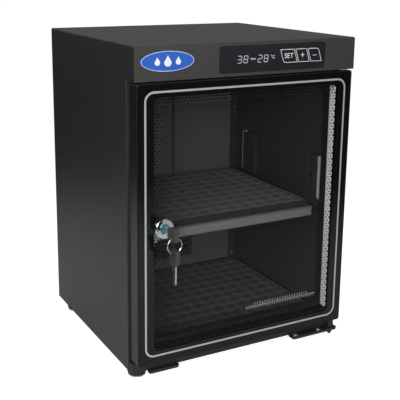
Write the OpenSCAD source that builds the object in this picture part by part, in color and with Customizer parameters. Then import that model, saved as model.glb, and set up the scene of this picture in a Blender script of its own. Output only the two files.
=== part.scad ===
// Camera dry cabinet: a sheet steel cabinet with a framed glass door, a lock with its keys,
// a pull-out shelf and a silent dryer on the rear wall. Millimetres, +X right, +Y to the rear, +Z up.
// The origin is on the floor, under the middle of the whole object.

/* [Cabinet] */
// Width over the side sheets
cabinet_w = 350; // [340:1:380]
// Depth from the front of the door glass to the rear sheet
cabinet_d = 320; // [312:1:350]
// Height of the case without its feet
case_h = 455; // [440:1:480]
// Thickness of the steel sheet
sheet_t = 1.2; // [1:0.1:1.4]
// Outer radius of the bends along the top edges
bend_r = 2.4; // [2:0.1:4]
// Height of the head that carries the display
head_h = 46.2; // [44:0.2:52]
// Depth of the space that the closed door fills
door_space_d = 27.8; // [27.8:0.1:29]

/* [Base and feet] */
// Height of the sill under the door
sill_h = 14; // [12:0.5:15]
// Setback of the sill from the door's front
sill_y = 16; // [15:0.5:18]
// Depth of the box beam behind the sill
sill_d = 24; // [22:0.5:26]
// Height of a foot with its glide
foot_h = 13; // [12:0.5:16]
// Radius of a foot at its top
foot_r = 15; // [13:0.5:16]
// Thickness of the white glide under a foot
glide_t = 2.8; // [2:0.1:3.4]
// Distance of a foot's centre from the side of the case
foot_in = 17; // [17:0.5:24]
// Distance of the foot beside the lower hinge from the right side
hinge_foot_in = 34; // [30:0.5:44]
// Distance of the front feet from the door's front
foot_front = 36; // [35:0.5:42]
// Distance of the rear feet from the rear sheet
foot_rear = 36; // [20:0.5:60]

/* [Front frame] */
// Width of the frame's upright bars
stile_w = 21; // [20:0.2:22]
// Height of the frame's lower bar above the sill
rail_low_h = 24; // [20:0.5:25]
// Height of the frame's upper bar
rail_top_h = 21.8; // [20:0.2:23]
// Corner radius of the cabin's mouth
mouth_r = 6; // [3:0.5:12]
// Depth of the fold behind the mouth's edge
fold_d = 12; // [9:0.5:12]

/* [Door] */
// Gap from the door's edge to the side of the case
door_side_gap = 2.6; // [1.5:0.1:3]
// Gap above and below the door
door_end_gap = 1.8; // [1.6:0.1:2.4]
// Depth of the door's frame
door_frame_d = 22; // [21:0.2:22]
// Width of the door frame's upright bars
door_stile_w = 24; // [22:0.5:25]
// Width of the door frame's upper and lower bars
door_rail_w = 21; // [20:0.5:23]
// Thickness of the toughened glass
glass_t = 4; // [3:0.5:5]
// Width of the frame's lip round the glass
trim_t = 1.8; // [1.2:0.1:2.4]
// Corner radius of the glass
glass_r = 3; // [1:0.5:6]
// Thickness of the tape that bonds the glass
tape_t = 1; // [0.6:0.1:1.5]
// Width of the magnetic seal
seal_w = 10; // [8:0.5:10]

/* [Hinges] */
// Distance of the hinge axis from the right side of the case
pin_in = 10; // [9:0.5:11]
// Distance of the hinge axis behind the door's front
pin_y = 13; // [12:0.5:13.5]
// Radius of the hinge pins
pin_r = 3; // [2.5:0.1:3.5]
// Length of a pin inside the door
pin_l = 12; // [9:0.5:13]
// Outer radius of the door's bushings
bush_r = 5; // [4.4:0.1:5]
// Thickness of the hinge plates
plate_t = 3; // [2:0.2:4]

/* [Lock] */
// Distance of the lock's centre from the left side of the case
lock_in = 42.1; // [42:0.1:50]
// Height of the lock's centre above the case's underside
lock_h = 210.4; // [190:0.2:300]
// Radius of the chrome bezel
bezel_r = 14; // [12:0.2:14.4]
// Thickness of the chrome bezel
bezel_t = 3; // [2:0.2:4]
// Radius of the threaded barrel
barrel_r = 9.5; // [9:0.1:10]
// Radius of the turning plug
plug_r = 7; // [6.5:0.1:7.5]
// Length of the cam from the lock's axis
cam_l = 31; // [29:0.5:33]
// Width of the cam
cam_w = 14; // [12:0.5:15]
// Thickness of the cam
cam_t = 2; // [1.5:0.1:2.4]

/* [Keys] */
// Length of a key's moulded head
bow_l = 21.5; // [20:0.5:24]
// Width of a key's moulded head
bow_w = 19.5; // [18:0.5:22]
// Thickness of a key's moulded head
bow_t = 6; // [5:0.2:7]
// Length of a key's blade beyond the head
blade_l = 28; // [26:0.5:30]
// Width of a key's blade
blade_w = 8; // [7:0.2:9]
// Thickness of a key's blade
blade_t = 2; // [1.6:0.1:2.4]
// Reach of the inserted key ahead of the glass
key_reach = 37; // [35:0.5:39]
// Outer radius of the key ring
ring_r = 11.25; // [10.5:0.25:13]
// Radius of the key ring's wire
wire_r = 0.75; // [0.6:0.05:0.9]

/* [Shelf] */
// Gap between the shelf and the side of the cabin's mouth
shelf_side_gap = 8; // [7.5:0.5:12]
// Depth of the shelf with its front bar
shelf_d = 248; // [230:1:248]
// Setback of the shelf's front bar from the door's front
shelf_y = 40; // [40:0.5:48]
// Slot of the uprights that the shelf hangs in, counted from below
shelf_row = 3; // [2:1:5]
// Height and depth of the shelf's front bar
bar_h = 14.5; // [12:0.5:15]
// Corner radius of the shelf's front bar
bar_r = 5; // [3:0.5:6]
// Height of the shelf's side lips
shelf_lip_h = 9; // [6:0.5:10]

/* [Uprights and runners] */
// Width of an upright
upright_w = 36; // [24:1:40]
// Depth of an upright
upright_d = 8.3; // [8:0.1:9]
// Height of an upright
upright_h = 148; // [146:1:160]
// Height of the uprights' foot above the case's underside
upright_z = 117; // [100:1:130]
// Distance of the front uprights' middle from the door's front
upright_front = 78; // [76:1:90]
// Distance of the rear uprights' middle from the rear sheet
upright_rear = 55; // [52:1:70]
// Spacing of the hook slots
slot_pitch = 20; // [18:0.5:22]
// Length of a hook slot
slot_l = 12; // [11:0.5:14]
// Width of a hook slot
slot_w = 4; // [3.5:0.1:5]

/* [Foam mats] */
// Distance between two peaks of the egg-crate foam
foam_pitch = 23; // [20:1:28]
// Thickness of the foam up to its valleys
foam_t = 4; // [3:0.5:6]
// Height of the peaks above the valleys
foam_wave = 7; // [5:0.5:9]

/* [Display] */
// Width of the glossy display panel
overlay_w = 174; // [168:1:180]
// Height of the glossy display panel
overlay_h = 37; // [35:0.5:38]
// Height of the panel's middle above the head's lower edge
overlay_z = 22.7; // [22:0.1:24]
// Thickness of the display panel
overlay_t = 0.8; // [0.5:0.1:1]
// Height of the three keys
button_h = 19.2; // [16:0.2:22]
// Sideways slant of the keys from top to bottom
button_slant = 6.1; // [3:0.1:8]
// Width of the first key
button_set_w = 24; // [22:0.2:26]
// Width of the two step keys
button_step_w = 19.4; // [17:0.2:21]
// Gap between two keys
button_gap = 1.4; // [1.2:0.1:2]
// Travel of a key when it is pressed
button_travel = 0.4; // [0.2:0.05:0.6]
// Width of the badge
badge_w = 77; // [70:0.5:80]
// Height of the badge
badge_h = 27; // [24:0.5:29]
// Thickness of the badge
badge_t = 1.2; // [1:0.1:1.6]

/* [Dryer] */
// Height of the dryer's middle above the case's underside
dryer_h = 97; // [90:1:110]
// Width of the dryer's inner housing
dryer_w = 130; // [126:1:150]
// Height of the dryer's inner housing
dryer_z = 104; // [100:1:108]
// Depth of the dryer's inner housing
dryer_d = 32; // [32:0.5:34]
// Wall thickness of the moulded housings
mould_t = 2; // [1.6:0.1:2.4]
// Number of cooling fins on the cold side
fin_count = 11; // [7:1:13]
// Side of the square thermoelectric module
peltier_w = 40; // [30:1:42]
// Depth of the vent cover behind the rear sheet
vent_d = 18; // [17:0.5:24]

/* [Hidden] */
$fn = 64;

// Clearances and the overrun of every cut
overrun = 1;
seat_gap = 0.3;
slip_gap = 0.1;
run_gap = 0.05;

// Levels and planes of the case, from the floor and from the door's front
half_w = cabinet_w / 2;
inner_w = half_w - sheet_t;
case_z = foot_h;
floor_z = case_z + sheet_t;
sill_z = case_z + sill_h;
top_z = case_z + case_h;
head_z = top_z - head_h;
body_y = door_space_d;
rear_y = cabinet_d;
flange_y = rear_y - 2 * sheet_t;
vent_y = rear_y + vent_d;
inlet_flange_t = 2;
ceiling_rim = 10;

// The door and its opening
door_half_w = half_w - door_side_gap;
door_z0 = sill_z + door_end_gap;
door_z1 = head_z - door_end_gap;
glass_in = trim_t + slip_gap;
seat_y = glass_t + tape_t;
recess_flare = 3.5;
door_corner_r = 3.5;
pin_x = half_w - pin_in;
seal_in = door_half_w - pin_x;
seal_base_t = 2;
seal_neck_t = 1;
seal_neck_share = 0.6;
seal_head_share = 0.9;
dart_w = 2.6;
dart_l = 2.7;

// The front frame's mouth
mouth_half_w = half_w - stile_w;
mouth_z0 = sill_z + rail_low_h;
mouth_z1 = head_z - rail_top_h;

// The lock and its parts
lock_x = lock_in - half_w;
lock_z = case_z + lock_h;
washer_t = 1.5;
washer_in = 1;
washer_r = bezel_r - washer_in;
nut_t = 4;
nut_wall = 2.2;
nut_r = 2 * (barrel_r + nut_wall) / sqrt(3);
cam_lap = 1.2;
strike_lap = 3;
cam_y = body_y + sheet_t + cam_lap;
barrel_end = cam_y - seat_gap;
tail_w = 6;
cam_screw_r = 2;
cam_screw_head_r = 3.8;
cam_screw_head_h = 2.4;
cam_screw_l = 10;
bezel_well = 0.8;
bezel_rim = 3.5;
bezel_round = 1.4;

// The keys: the blade runs along +Y and the head ends at the key's own origin
hole_r = 2.9;
hole_slide = 2.6;
hole_in = 6;
bow_round = 3;
bow_neck_share = 0.62;
bow_taper_share = 0.3;
bow_dish = 0.9;
bit_w = 2.2;
bit_deep = [1.2, 2, 0.9, 1.6];
bit_start = 12;
bit_pitch = 3.6;
tip_l = 3;
shank_in = 9;
blade_tip_y = -key_reach + bow_l + blade_l;
blade_spare_l = 1;
wire_x = lock_x;
wire_y = -key_reach + hole_in;
mid_y = (vent_y + inlet_flange_t + wire_y - bow_w / 2) / 2;
wheel_r = ring_r - wire_r;
ring_rise = wheel_r - sqrt(pow(wheel_r, 2) - pow(bow_t / 2, 2));
wire_z = lock_z - hole_slide - hole_r + wire_r + seat_gap + ring_rise;
ring_z = wire_z - wheel_r;
spare_wire_z = ring_z - wheel_r;
spare_top_z = spare_wire_z - hole_r + wire_r + seat_gap + ring_rise + hole_in;

// The shelf and what carries it
shelf_half_w = mouth_half_w - shelf_side_gap;
slot_edge = 14;
hook_z = case_z + upright_z + slot_edge + shelf_row * slot_pitch;
runner_low = 5.5;
runner_z = hook_z - runner_low;
runner_h = 11.5;
runner_gap = 1;
runner_y = shelf_y + bar_h + runner_gap;
runner_l = shelf_d - bar_h - runner_gap;
runner_lap = 8;
web_x = inner_w - upright_d;
runner_x = web_x - seat_gap;
tray_z = runner_z + sheet_t + seat_gap;
tray_tongue = 8;
tray_y = shelf_y + bar_h;
tray_rear = shelf_y + shelf_d;
bar_drop = 10;
bar_z = tray_z - bar_drop;
bar_chamfer = 6;
hook_t = 2.4;
hook_h = 7;
hook_deep = 3.4;
hook_drop = 2.4;
foam_gap = 2;
floor_foam_y = sill_y + sill_d + foam_gap;

// The head: the panel stands in the width that the badge leaves free
fascia_t = 3;
lip_d = 4;
lip_t = 2;
lip_in = sheet_t + seat_gap;
badge_in = 8.2;
badge_rise = 25.2;
badge_x = badge_in + badge_w / 2 - half_w;
badge_cz = head_z + badge_rise;
badge_seat = 0.6;
badge_turn = 5;
overlay_place_share = 0.4163;
overlay_x0 = badge_x + badge_w / 2
    + overlay_place_share * (cabinet_w - badge_in - badge_w - overlay_w);
overlay_x1 = overlay_x0 + overlay_w;
overlay_cz = head_z + overlay_z;
overlay_r = 4;
button_margin = 5.8;
button_x0 = overlay_x1 - button_margin - button_slant - button_set_w
    - 2 * button_step_w - 2 * button_gap;
button_rise = 14.2;
button_z0 = head_z + button_rise;
button_proud = 0.3;
button_x = [button_x0, button_x0 + button_set_w + button_gap,
    button_x0 + button_set_w + button_step_w + 2 * button_gap];
button_w = [button_set_w, button_step_w, button_step_w];
button_flange_t = 1.2;
button_flange_h = 1.5;
plunger_r = 2;
window_w = 58;
window_h = 20.5;
window_r = 1;
window_gap = 14.75;
window_x = button_x0 - window_gap - window_w / 2;
digit_w = 21;
digit_h = 19;
digit_pitch = 32.5;
digit_x = [window_x - digit_pitch / 2, window_x + digit_pitch / 2];
board_y = 11;
board_t = 1.6;
board_left_in = 7;
board_right_in = 2;
board_edge_in = 1.5;
board_x0 = overlay_x0 + board_left_in;
board_x1 = overlay_x1 - board_right_in;
board_z0 = overlay_cz - overlay_h / 2 + board_edge_in;
board_z1 = overlay_cz + overlay_h / 2 - board_edge_in;
board_hole_in = 4;
relay_in = 42;
relay_w = 24;
relay_x = board_x1 - relay_in;
cap_r = 4;
boss_r = 3.4;
pilot_r = 1.15;
board_screw_r = 1.05;
board_screw_head_r = 2.6;
board_screw_head_h = 1.8;
board_screw_l = 5;
switch_w = 6;
switch_t = 3.5;
stem_r = 1.6;
stem_t = 1;

// The dryer on the rear wall
dryer_cz = case_z + dryer_h;
dryer_y = rear_y - sheet_t - dryer_d;
collar_w = 92;
collar_h = 72;
collar_t = 13.2;
collar_y = rear_y - collar_t;
collar_corner_r = 1;
base_t = 4;
fin_t = 1.2;
fin_l = 12;
cold_w = 84;
cold_h = 66;
cold_y = collar_y - seat_gap - base_t;
peltier_in = 3.2;
peltier_y = collar_y + peltier_in;
peltier_t = 3.8;
ceramic_t = 1;
groove_d = 1;
pad_in = 1;
hot_w = 112;
hot_h = 92;
hot_y = rear_y + seat_gap;
hot_fin_l = 9;
hot_fin_count = 15;
louvre_h = 4;
louvre_pitch = 10;
louvre_tilt = 30;
vent_w = 152;
vent_low = 75;
vent_high = 65;
inlet_x = 52;
inlet_rise = 19;
inlet_z = dryer_cz - vent_low + inlet_rise;
inlet_w = 30;
inlet_h = 21;
inlet_body_w = 25;
inlet_body_h = 15;
inlet_body_d = 13;
inlet_pin_pitch = 8.6;
inlet_pin_r = 1.2;
inlet_well_r = 4.9;
inlet_well_d = 11;
inlet_waist = 1;
duct_x = 40;
duct_w = 14;
duct_d = 10;
tray_cup_h = 6;
head_slot_count = 12;
head_slot_in = 14;

// Screws and small parts
rear_screw_r = 1.6;
rear_screw_head_r = 3.2;
rear_screw_head_h = 2;
rear_screw_l = 6;
rear_screw_in = 8;
rear_screw_z = [sill_z + rear_screw_in, case_z + case_h / 3, case_z + case_h * 2 / 3,
    top_z - rear_screw_in];
flange_w = 14;
hinge_screw_r = 2.4;
hinge_screw_head_r = 4.6;
hinge_screw_head_h = 3;
hinge_screw_end_l = 1;
foot_well_r = 5.2;
foot_well_z = 9;
foot_screw_l = floor_z - foot_well_z;
foot_waist_share = 0.84;
foot_edge = 1;
plate_y = 4;
plate_d = 15.5;
plate_side_in = 3;
lower_plate_w = 82;
lower_plate_x = half_w - plate_side_in - lower_plate_w;
lower_screw_in = [68, 25];
lower_screw_x = [for (in = lower_screw_in) pin_x - in];
lower_screw_y = 10;
left_plate_in = 25;
left_plate_y = 9;
left_plate_x = left_plate_in - half_w;
left_plate_w = 46;
bush_spare_l = 1.5;
bush_l = pin_l + bush_spare_l;
bush_flange_t = 0.8;
bush_flange_r = 6.4;
upper_plate_w = 32;
upper_plate_d = 44;
upper_plate_y = fascia_t + lip_d + seat_gap;
upper_screw_in = 16;
upper_screw_x = pin_x - upper_screw_in;
upper_screw_y = [22, 42];
pin_head_h = 2;
collar_r = 5.5;
knob_r = 3;
knob_clear = 0.8;
knob_waist_r = 4;
sensor_x = 60;
sensor_y = 180;
sensor_r = 8;
sensor_h = 9;
sensor_neck_r = 4;
sensor_slots = 4;
sensor_slot_w = 1;

// Puts the cabinet's own coordinates, with y = 0 at the door's front, over the middle
module placed() translate([0, -mid_y, 0]) children();

// Extrudes an outline drawn in X and Z from y0 to y1
module along_y(y0, y1) {
    translate([0, y1, 0]) rotate([90, 0, 0]) linear_extrude(height = y1 - y0) children();
}

// Extrudes an outline drawn in Y and Z from x0 to x1
module along_x(x0, x1) {
    translate([x0, 0, 0]) rotate([90, 0, 90]) linear_extrude(height = x1 - x0) children();
}

// Extrudes an outline drawn in X and Y from z0 to z1
module along_z(z0, z1) translate([0, 0, z0]) linear_extrude(height = z1 - z0) children();

module box(x0, x1, y0, y1, z0, z1) translate([x0, y0, z0]) cube([x1 - x0, y1 - y0, z1 - z0]);

module rod_y(r, y0, y1, x, z) translate([x, y1, z]) rotate([90, 0, 0]) cylinder(r = r, h = y1 - y0);

module rod_z(r, z0, z1, x, y) translate([x, y, z0]) cylinder(r = r, h = z1 - z0);

// Rectangle from corner to corner with round corners
module pane(x0, x1, z0, z1, r) {
    translate([x0 + r, z0]) square([x1 - x0 - 2 * r, z1 - z0]);
    translate([x0, z0 + r]) square([x1 - x0, z1 - z0 - 2 * r]);
    for (x = [x0 + r, x1 - r], z = [z0 + r, z1 - r]) translate([x, z]) circle(r);
}

// Rectangle whose two upper corners are round
module arch(hw, z0, z1, r) {
    translate([-hw, z0]) square([2 * hw, z1 - z0 - r]);
    translate([r - hw, z0]) square([2 * (hw - r), z1 - z0]);
    for (s = [-1, 1]) translate([s * (hw - r), z1 - r]) circle(r);
}

// Outline of the door, drawn in by the given distance
module door_outline(in, r) pane(in - door_half_w, door_half_w - in, door_z0 + in, door_z1 - in, r);

// Outline of the front frame's mouth, grown by the given distance
module mouth_outline(out) {
    pane(-mouth_half_w - out, mouth_half_w + out, mouth_z0 - out, mouth_z1 + out, mouth_r + out);
}

// Height field of round peaks and valleys on half the pitch, closed by a flat underside
function foam_top(i, j) = foam_t + foam_wave * (2 + cos(180 * i) + cos(180 * j)) / 4;
module foam(x0, x1, y0, y1, z) {
    nx = round((x1 - x0) / foam_pitch) * 2;
    ny = round((y1 - y0) / foam_pitch) * 2;
    dx = (x1 - x0) / nx;
    dy = (y1 - y0) / ny;
    top = [for (i = [0:nx], j = [0:ny]) [x0 + i * dx, y0 + j * dy, z + foam_top(i, j)]];
    rim = concat([for (i = [0:nx - 1]) [i, 0]], [for (j = [0:ny - 1]) [nx, j]],
        [for (i = [0:nx - 1]) [nx - i, ny]], [for (j = [0:ny - 1]) [0, ny - j]]);
    under = [for (p = rim) [x0 + p[0] * dx, y0 + p[1] * dy, z]];
    n = len(top);
    m = len(rim);
    row = ny + 1;
    up_faces = [for (i = [0:nx - 1], j = [0:ny - 1], k = [0, 1])
        let (a = i * row + j, b = a + row, odd = (i + j) % 2)
        odd == 0 ? (k == 0 ? [a, b + 1, b] : [a, a + 1, b + 1])
                 : (k == 0 ? [a, a + 1, b] : [a + 1, b + 1, b])];
    side_faces = [for (k = [0:m - 1], t = [0, 1])
        let (p = rim[k], q = rim[(k + 1) % m], a = p[0] * row + p[1], b = q[0] * row + q[1])
        t == 0 ? [a, b, n + k] : [b, n + (k + 1) % m, n + k]];
    middle = [(x0 + x1) / 2, (y0 + y1) / 2, z];
    under_faces = [for (k = [0:m - 1]) [n + k, n + (k + 1) % m, n + m]];
    polyhedron(concat(top, under, [middle]), concat(up_faces, side_faces, under_faces));
}

// Pan-head screw along +Z with its head's underside at z = 0 and its shank below
module pan_screw(shank_r, head_r, head_h, l) {
    translate([0, 0, -l]) cylinder(r = shank_r, h = l);
    rotate_extrude() {
        square([head_r, head_h / 2]);
        translate([0, head_h / 2]) intersection() {
            scale([1, head_h / 2 / head_r]) circle(head_r);
            square([head_r, head_h]);
        }
    }
}

module case_shell() color("#3a3a3e") placed() {
    difference() {
        along_y(fascia_t + slip_gap, rear_y) arch(half_w, case_z, top_z, bend_r);
        along_y(-overrun, rear_y + overrun) {
            arch(inner_w, case_z - overrun, top_z - sheet_t, bend_r - sheet_t);
        }
        box(-half_w - overrun, half_w + overrun, -overrun, body_y, case_z - overrun, head_z);
    }
    difference() {
        along_y(flange_y, flange_y + sheet_t) {
            arch(inner_w, sill_z + seat_gap, top_z - sheet_t, bend_r - sheet_t);
        }
        box(flange_w - inner_w, inner_w - flange_w, flange_y - overrun, rear_y,
            case_z, head_z - flange_w);
        box(flange_w - inner_w, inner_w - flange_w, flange_y - overrun, rear_y,
            head_z, top_z - sheet_t - flange_w);
        rear_screw_holes();
    }
}

module rear_screw_holes() {
    for (s = [-1, 1], z = rear_screw_z) {
        rod_y(rear_screw_r + slip_gap, flange_y - overrun, rear_y + overrun,
            s * (half_w - rear_screw_in), z);
    }
}

module base_pan() color("#2c2c2f") placed() {
    difference() {
        union() {
            box(-inner_w, inner_w, sill_y, flange_y + sheet_t, case_z, floor_z);
            for (y = [sill_y, sill_y + sill_d - sheet_t, flange_y]) {
                box(-inner_w, inner_w, y, y + sheet_t, case_z, sill_z);
            }
            box(-inner_w, inner_w, sill_y, sill_y + sill_d, sill_z - sheet_t, sill_z);
            for (x = [-inner_w, inner_w - sheet_t]) {
                box(x, x + sheet_t, sill_y, flange_y + sheet_t, case_z, sill_z);
            }
            box(lower_plate_x, door_half_w, plate_y, sill_y, case_z, floor_z);
            box(left_plate_x, left_plate_x + left_plate_w, left_plate_y, sill_y, case_z, floor_z);
        }
        foot_places() rod_z(hinge_screw_r + slip_gap, case_z - overrun, floor_z + overrun, 0, 0);
        rod_z(knob_waist_r + slip_gap, case_z - overrun, floor_z + overrun, pin_x, pin_y);
        rod_z(collar_r + seat_gap, floor_z, sill_z + overrun, pin_x, pin_y);
        for (x = lower_screw_x) {
            rod_z(hinge_screw_r + slip_gap, case_z - overrun, floor_z + overrun, x, lower_screw_y);
        }
    }
}

module back_panel() color("#2c2c2f") placed() {
    difference() {
        along_y(rear_y - sheet_t, rear_y) {
            arch(inner_w, case_z, top_z - sheet_t, bend_r - sheet_t);
        }
        box(-collar_w / 2 - seat_gap, collar_w / 2 + seat_gap, rear_y - 2 * sheet_t, rear_y + overrun,
            dryer_cz - collar_h / 2 - seat_gap, dryer_cz + collar_h / 2 + seat_gap);
        rear_screw_holes();
        for (i = [0:head_slot_count - 1]) {
            translate([(i - (head_slot_count - 1) / 2) * louvre_pitch, 0, 0]) {
                box(-louvre_h / 2, louvre_h / 2, rear_y - 2 * sheet_t, rear_y + overrun,
                    head_z + head_slot_in, top_z - head_slot_in);
            }
        }
    }
}

module front_frame() color("#1c1c1e") placed() {
    difference() {
        union() {
            along_y(body_y, body_y + sheet_t) {
                translate([-inner_w, sill_z]) square([2 * inner_w, head_z - sill_z]);
            }
            along_y(body_y, body_y + fold_d) mouth_outline(sheet_t);
        }
        along_y(body_y - overrun, body_y + fold_d + overrun) mouth_outline(0);
        box(-mouth_half_w - overrun - sheet_t, -mouth_half_w + overrun,
            body_y + sheet_t + seat_gap, cam_y + cam_t + strike_lap,
            lock_z - cam_l - cam_lap, lock_z + cam_w / 2 + cam_lap);
    }
}

module cabin_ceiling() color("#2c2c2f") placed() {
    difference() {
        union() {
            box(-inner_w, inner_w, fascia_t + slip_gap, flange_y - slip_gap, head_z, head_z + sheet_t);
            for (x = [-inner_w, inner_w - sheet_t]) {
                box(x, x + sheet_t, body_y, flange_y - slip_gap, head_z, head_z + ceiling_rim);
            }
        }
        rod_z(pin_r + seat_gap, head_z - overrun, head_z + 2 * sheet_t, pin_x, pin_y);
        rod_z(sensor_neck_r + slip_gap, head_z - overrun, head_z + 2 * sheet_t, sensor_x, sensor_y);
        upper_screw_places() rod_z(hinge_screw_r + slip_gap, head_z - overrun, head_z + 2 * sheet_t, 0, 0);
        box(duct_x + mould_t, duct_x + duct_w - mould_t, rear_y - sheet_t - duct_d,
            rear_y - 2 * sheet_t - mould_t, head_z - overrun, head_z + 2 * sheet_t);
    }
}

module fascia() color("#2a2a2c") placed() {
    difference() {
        union() {
            along_y(0, fascia_t) arch(half_w, head_z, top_z, bend_r);
            difference() {
                along_y(fascia_t, fascia_t + lip_d) {
                    arch(half_w - lip_in, head_z + lip_in, top_z - lip_in, sheet_t);
                }
                along_y(fascia_t - overrun, fascia_t + lip_d + overrun) {
                    arch(half_w - lip_in - lip_t, head_z + lip_in + lip_t, top_z - lip_in - lip_t, sheet_t);
                }
            }
            board_corners() rod_y(boss_r, fascia_t - overlay_t, board_y, 0, 0);
        }
        along_y(-overrun, overlay_t) {
            pane(overlay_x0 - slip_gap, overlay_x1 + slip_gap,
                overlay_cz - overlay_h / 2 - slip_gap, overlay_cz + overlay_h / 2 + slip_gap, overlay_r);
        }
        along_y(-overrun, badge_seat) badge_outline(slip_gap);
        along_y(-overrun, fascia_t + overrun) {
            pane(window_x - window_w / 2, window_x + window_w / 2,
                overlay_cz - window_h / 2, overlay_cz + window_h / 2, window_r);
            for (i = [0:2]) button_outline(i, seat_gap);
        }
        board_corners() rod_y(pilot_r, board_y - board_screw_l - overrun, board_y + overrun, 0, 0);
    }
}

module board_corners() {
    for (x = [board_x0 + board_hole_in, board_x1 - board_hole_in],
        z = [board_z0 + board_hole_in, board_z1 - board_hole_in]) {
        translate([x, 0, z]) children();
    }
}

// Slanted outline of key i, grown by the given gap
module button_outline(i, gap) {
    x = button_x[i];
    w = button_w[i];
    lean = button_slant * gap / button_h;
    z0 = button_z0 - gap;
    z1 = button_z0 + button_h + gap;
    polygon([[x + button_slant - gap + lean, z0], [x + button_slant + w + gap + lean, z0],
        [x + w + gap - lean, z1], [x - gap - lean, z1]]);
}

// Ellipse of the badge, grown by the given gap
module badge_outline(gap) {
    translate([badge_x, badge_cz]) polygon([for (a = [0:badge_turn:360 - badge_turn])
        [(badge_w / 2 + gap) * cos(a), (badge_h / 2 + gap) * sin(a)]]);
}

module display_panel() color("#101014") placed() {
    difference() {
        along_y(0, overlay_t) {
            pane(overlay_x0, overlay_x1,
                overlay_cz - overlay_h / 2, overlay_cz + overlay_h / 2, overlay_r);
        }
        along_y(-overrun, overlay_t + overrun) for (i = [0:2]) button_outline(i, seat_gap);
    }
}

module badge_plate() color("#3c78dc") placed() {
    along_y(badge_seat - badge_t, badge_seat) badge_outline(0);
}

module control_board() color("#1d5a38") placed() {
    difference() {
        box(board_x0, board_x1, board_y, board_y + board_t, board_z0, board_z1);
        board_corners() {
            rod_y(board_screw_r + slip_gap, board_y - overrun, board_y + board_t + overrun, 0, 0);
        }
    }
    box(relay_x, relay_x + relay_w, board_y + board_t, board_y + relay_w,
        board_z0 + board_hole_in, board_z1 - board_hole_in);
    for (i = [0:2]) {
        rod_y(cap_r, board_y + board_t, board_y + relay_w / 2, relay_x - (i + 1) * 3 * cap_r, overlay_cz);
    }
}

module digit_display() color("#20242c") placed() {
    for (x = digit_x) {
        box(x - digit_w / 2, x + digit_w / 2, overlay_t + slip_gap, board_y,
            overlay_cz - digit_h / 2, overlay_cz + digit_h / 2);
    }
}

module tact_switches() color("#303030") placed() {
    for (i = [0:2]) button_middle(i) {
        box(-switch_w / 2, switch_w / 2, board_y - switch_t, board_y, -switch_w / 2, switch_w / 2);
        rod_y(stem_r, board_y - switch_t - stem_t, board_y - switch_t, 0, 0);
    }
}

module button_middle(i) {
    translate([button_x[i] + (button_w[i] + button_slant) / 2, 0, button_z0 + button_h / 2]) children();
}

// Key i: a slanted cap, a flange that holds it behind the fascia, and a plunger over its switch
module push_key(i) placed() {
    flange_y0 = fascia_t + slip_gap;
    plunger_end = board_y - switch_t - stem_t - button_travel - run_gap;
    along_y(-button_proud, flange_y0) button_outline(i, 0);
    button_middle(i) {
        box(-button_w[i] / 3, button_w[i] / 3, flange_y0, flange_y0 + button_flange_t,
            -button_h / 2 - button_flange_h, button_h / 2 + button_flange_h);
        rod_y(plunger_r, flange_y0 + button_flange_t, plunger_end, 0, 0);
    }
}
module key_set() color("#18181c") push_key(0);
module key_plus() color("#18181c") push_key(1);
module key_minus() color("#18181c") push_key(2);

module board_screws() color("silver") placed() {
    board_corners() translate([0, board_y + board_t, 0]) rotate([-90, 0, 0]) {
        pan_screw(board_screw_r, board_screw_head_r, board_screw_head_h, board_t + board_screw_l);
    }
}

module humidity_sensor() color("#e8e8e8") placed() {
    difference() {
        rod_z(sensor_r, head_z - sensor_h, head_z, sensor_x, sensor_y);
        for (i = [0:sensor_slots - 1]) {
            translate([sensor_x, sensor_y, 0]) rotate([0, 0, i * 180 / sensor_slots]) {
                box(-sensor_r - overrun, sensor_r + overrun, -sensor_slot_w / 2, sensor_slot_w / 2,
                    head_z - sensor_h + sensor_slot_w, head_z - mould_t);
            }
        }
        rod_z(sensor_r - mould_t, head_z - sensor_h + mould_t, head_z - mould_t, sensor_x, sensor_y);
    }
    rod_z(sensor_neck_r, head_z - mould_t, head_z + 2 * sheet_t, sensor_x, sensor_y);
}

module dryer_housing() color("#e4e4e0") placed() {
    z0 = dryer_cz - dryer_z / 2;
    z1 = dryer_cz + dryer_z / 2;
    slots = floor((dryer_z - 4 * mould_t - 2 * louvre_pitch) / louvre_pitch);
    side_slots = floor((dryer_w / 2 - 2 * louvre_pitch) / louvre_pitch);
    difference() {
        along_y(dryer_y, rear_y - sheet_t) pane(-dryer_w / 2, dryer_w / 2, z0, z1, louvre_h);
        along_y(dryer_y + mould_t, rear_y) {
            pane(mould_t - dryer_w / 2, dryer_w / 2 - mould_t,
                z0 + mould_t, z1 - mould_t, louvre_h - mould_t);
        }
        for (i = [0:slots]) {
            translate([0, dryer_y, dryer_cz + (i - slots / 2) * louvre_pitch]) rotate([louvre_tilt, 0, 0]) {
                box(louvre_pitch - dryer_w / 2, dryer_w / 2 - louvre_pitch, -2 * mould_t, 3 * mould_t,
                    -louvre_h / 2, louvre_h / 2);
            }
        }
        for (i = [-side_slots:side_slots]) {
            box(i * louvre_pitch - louvre_h / 2, i * louvre_pitch + louvre_h / 2,
                dryer_y + 2 * louvre_h, rear_y - sheet_t - 2 * louvre_h, z1 - 2 * mould_t, z1 + overrun);
        }
    }
}

// Row of upright fins from y0 to y1 across the given width and height
module fin_row(count, w, h, y0, y1) {
    for (i = [0:count - 1]) {
        x = (i / (count - 1) - 1 / 2) * (w - fin_t);
        box(x - fin_t / 2, x + fin_t / 2, y0, y1, dryer_cz - h / 2, dryer_cz + h / 2);
    }
}

// Plate with a square raised pad of the module's size, which reaches through the collar
module cooler_plate(w, h, y, pad_y0, pad_y1) {
    box(-w / 2, w / 2, y, y + base_t, dryer_cz - h / 2, dryer_cz + h / 2);
    box(pad_in - peltier_w / 2, peltier_w / 2 - pad_in, pad_y0, pad_y1,
        dryer_cz - peltier_w / 2 + pad_in, dryer_cz + peltier_w / 2 - pad_in);
}

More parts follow.
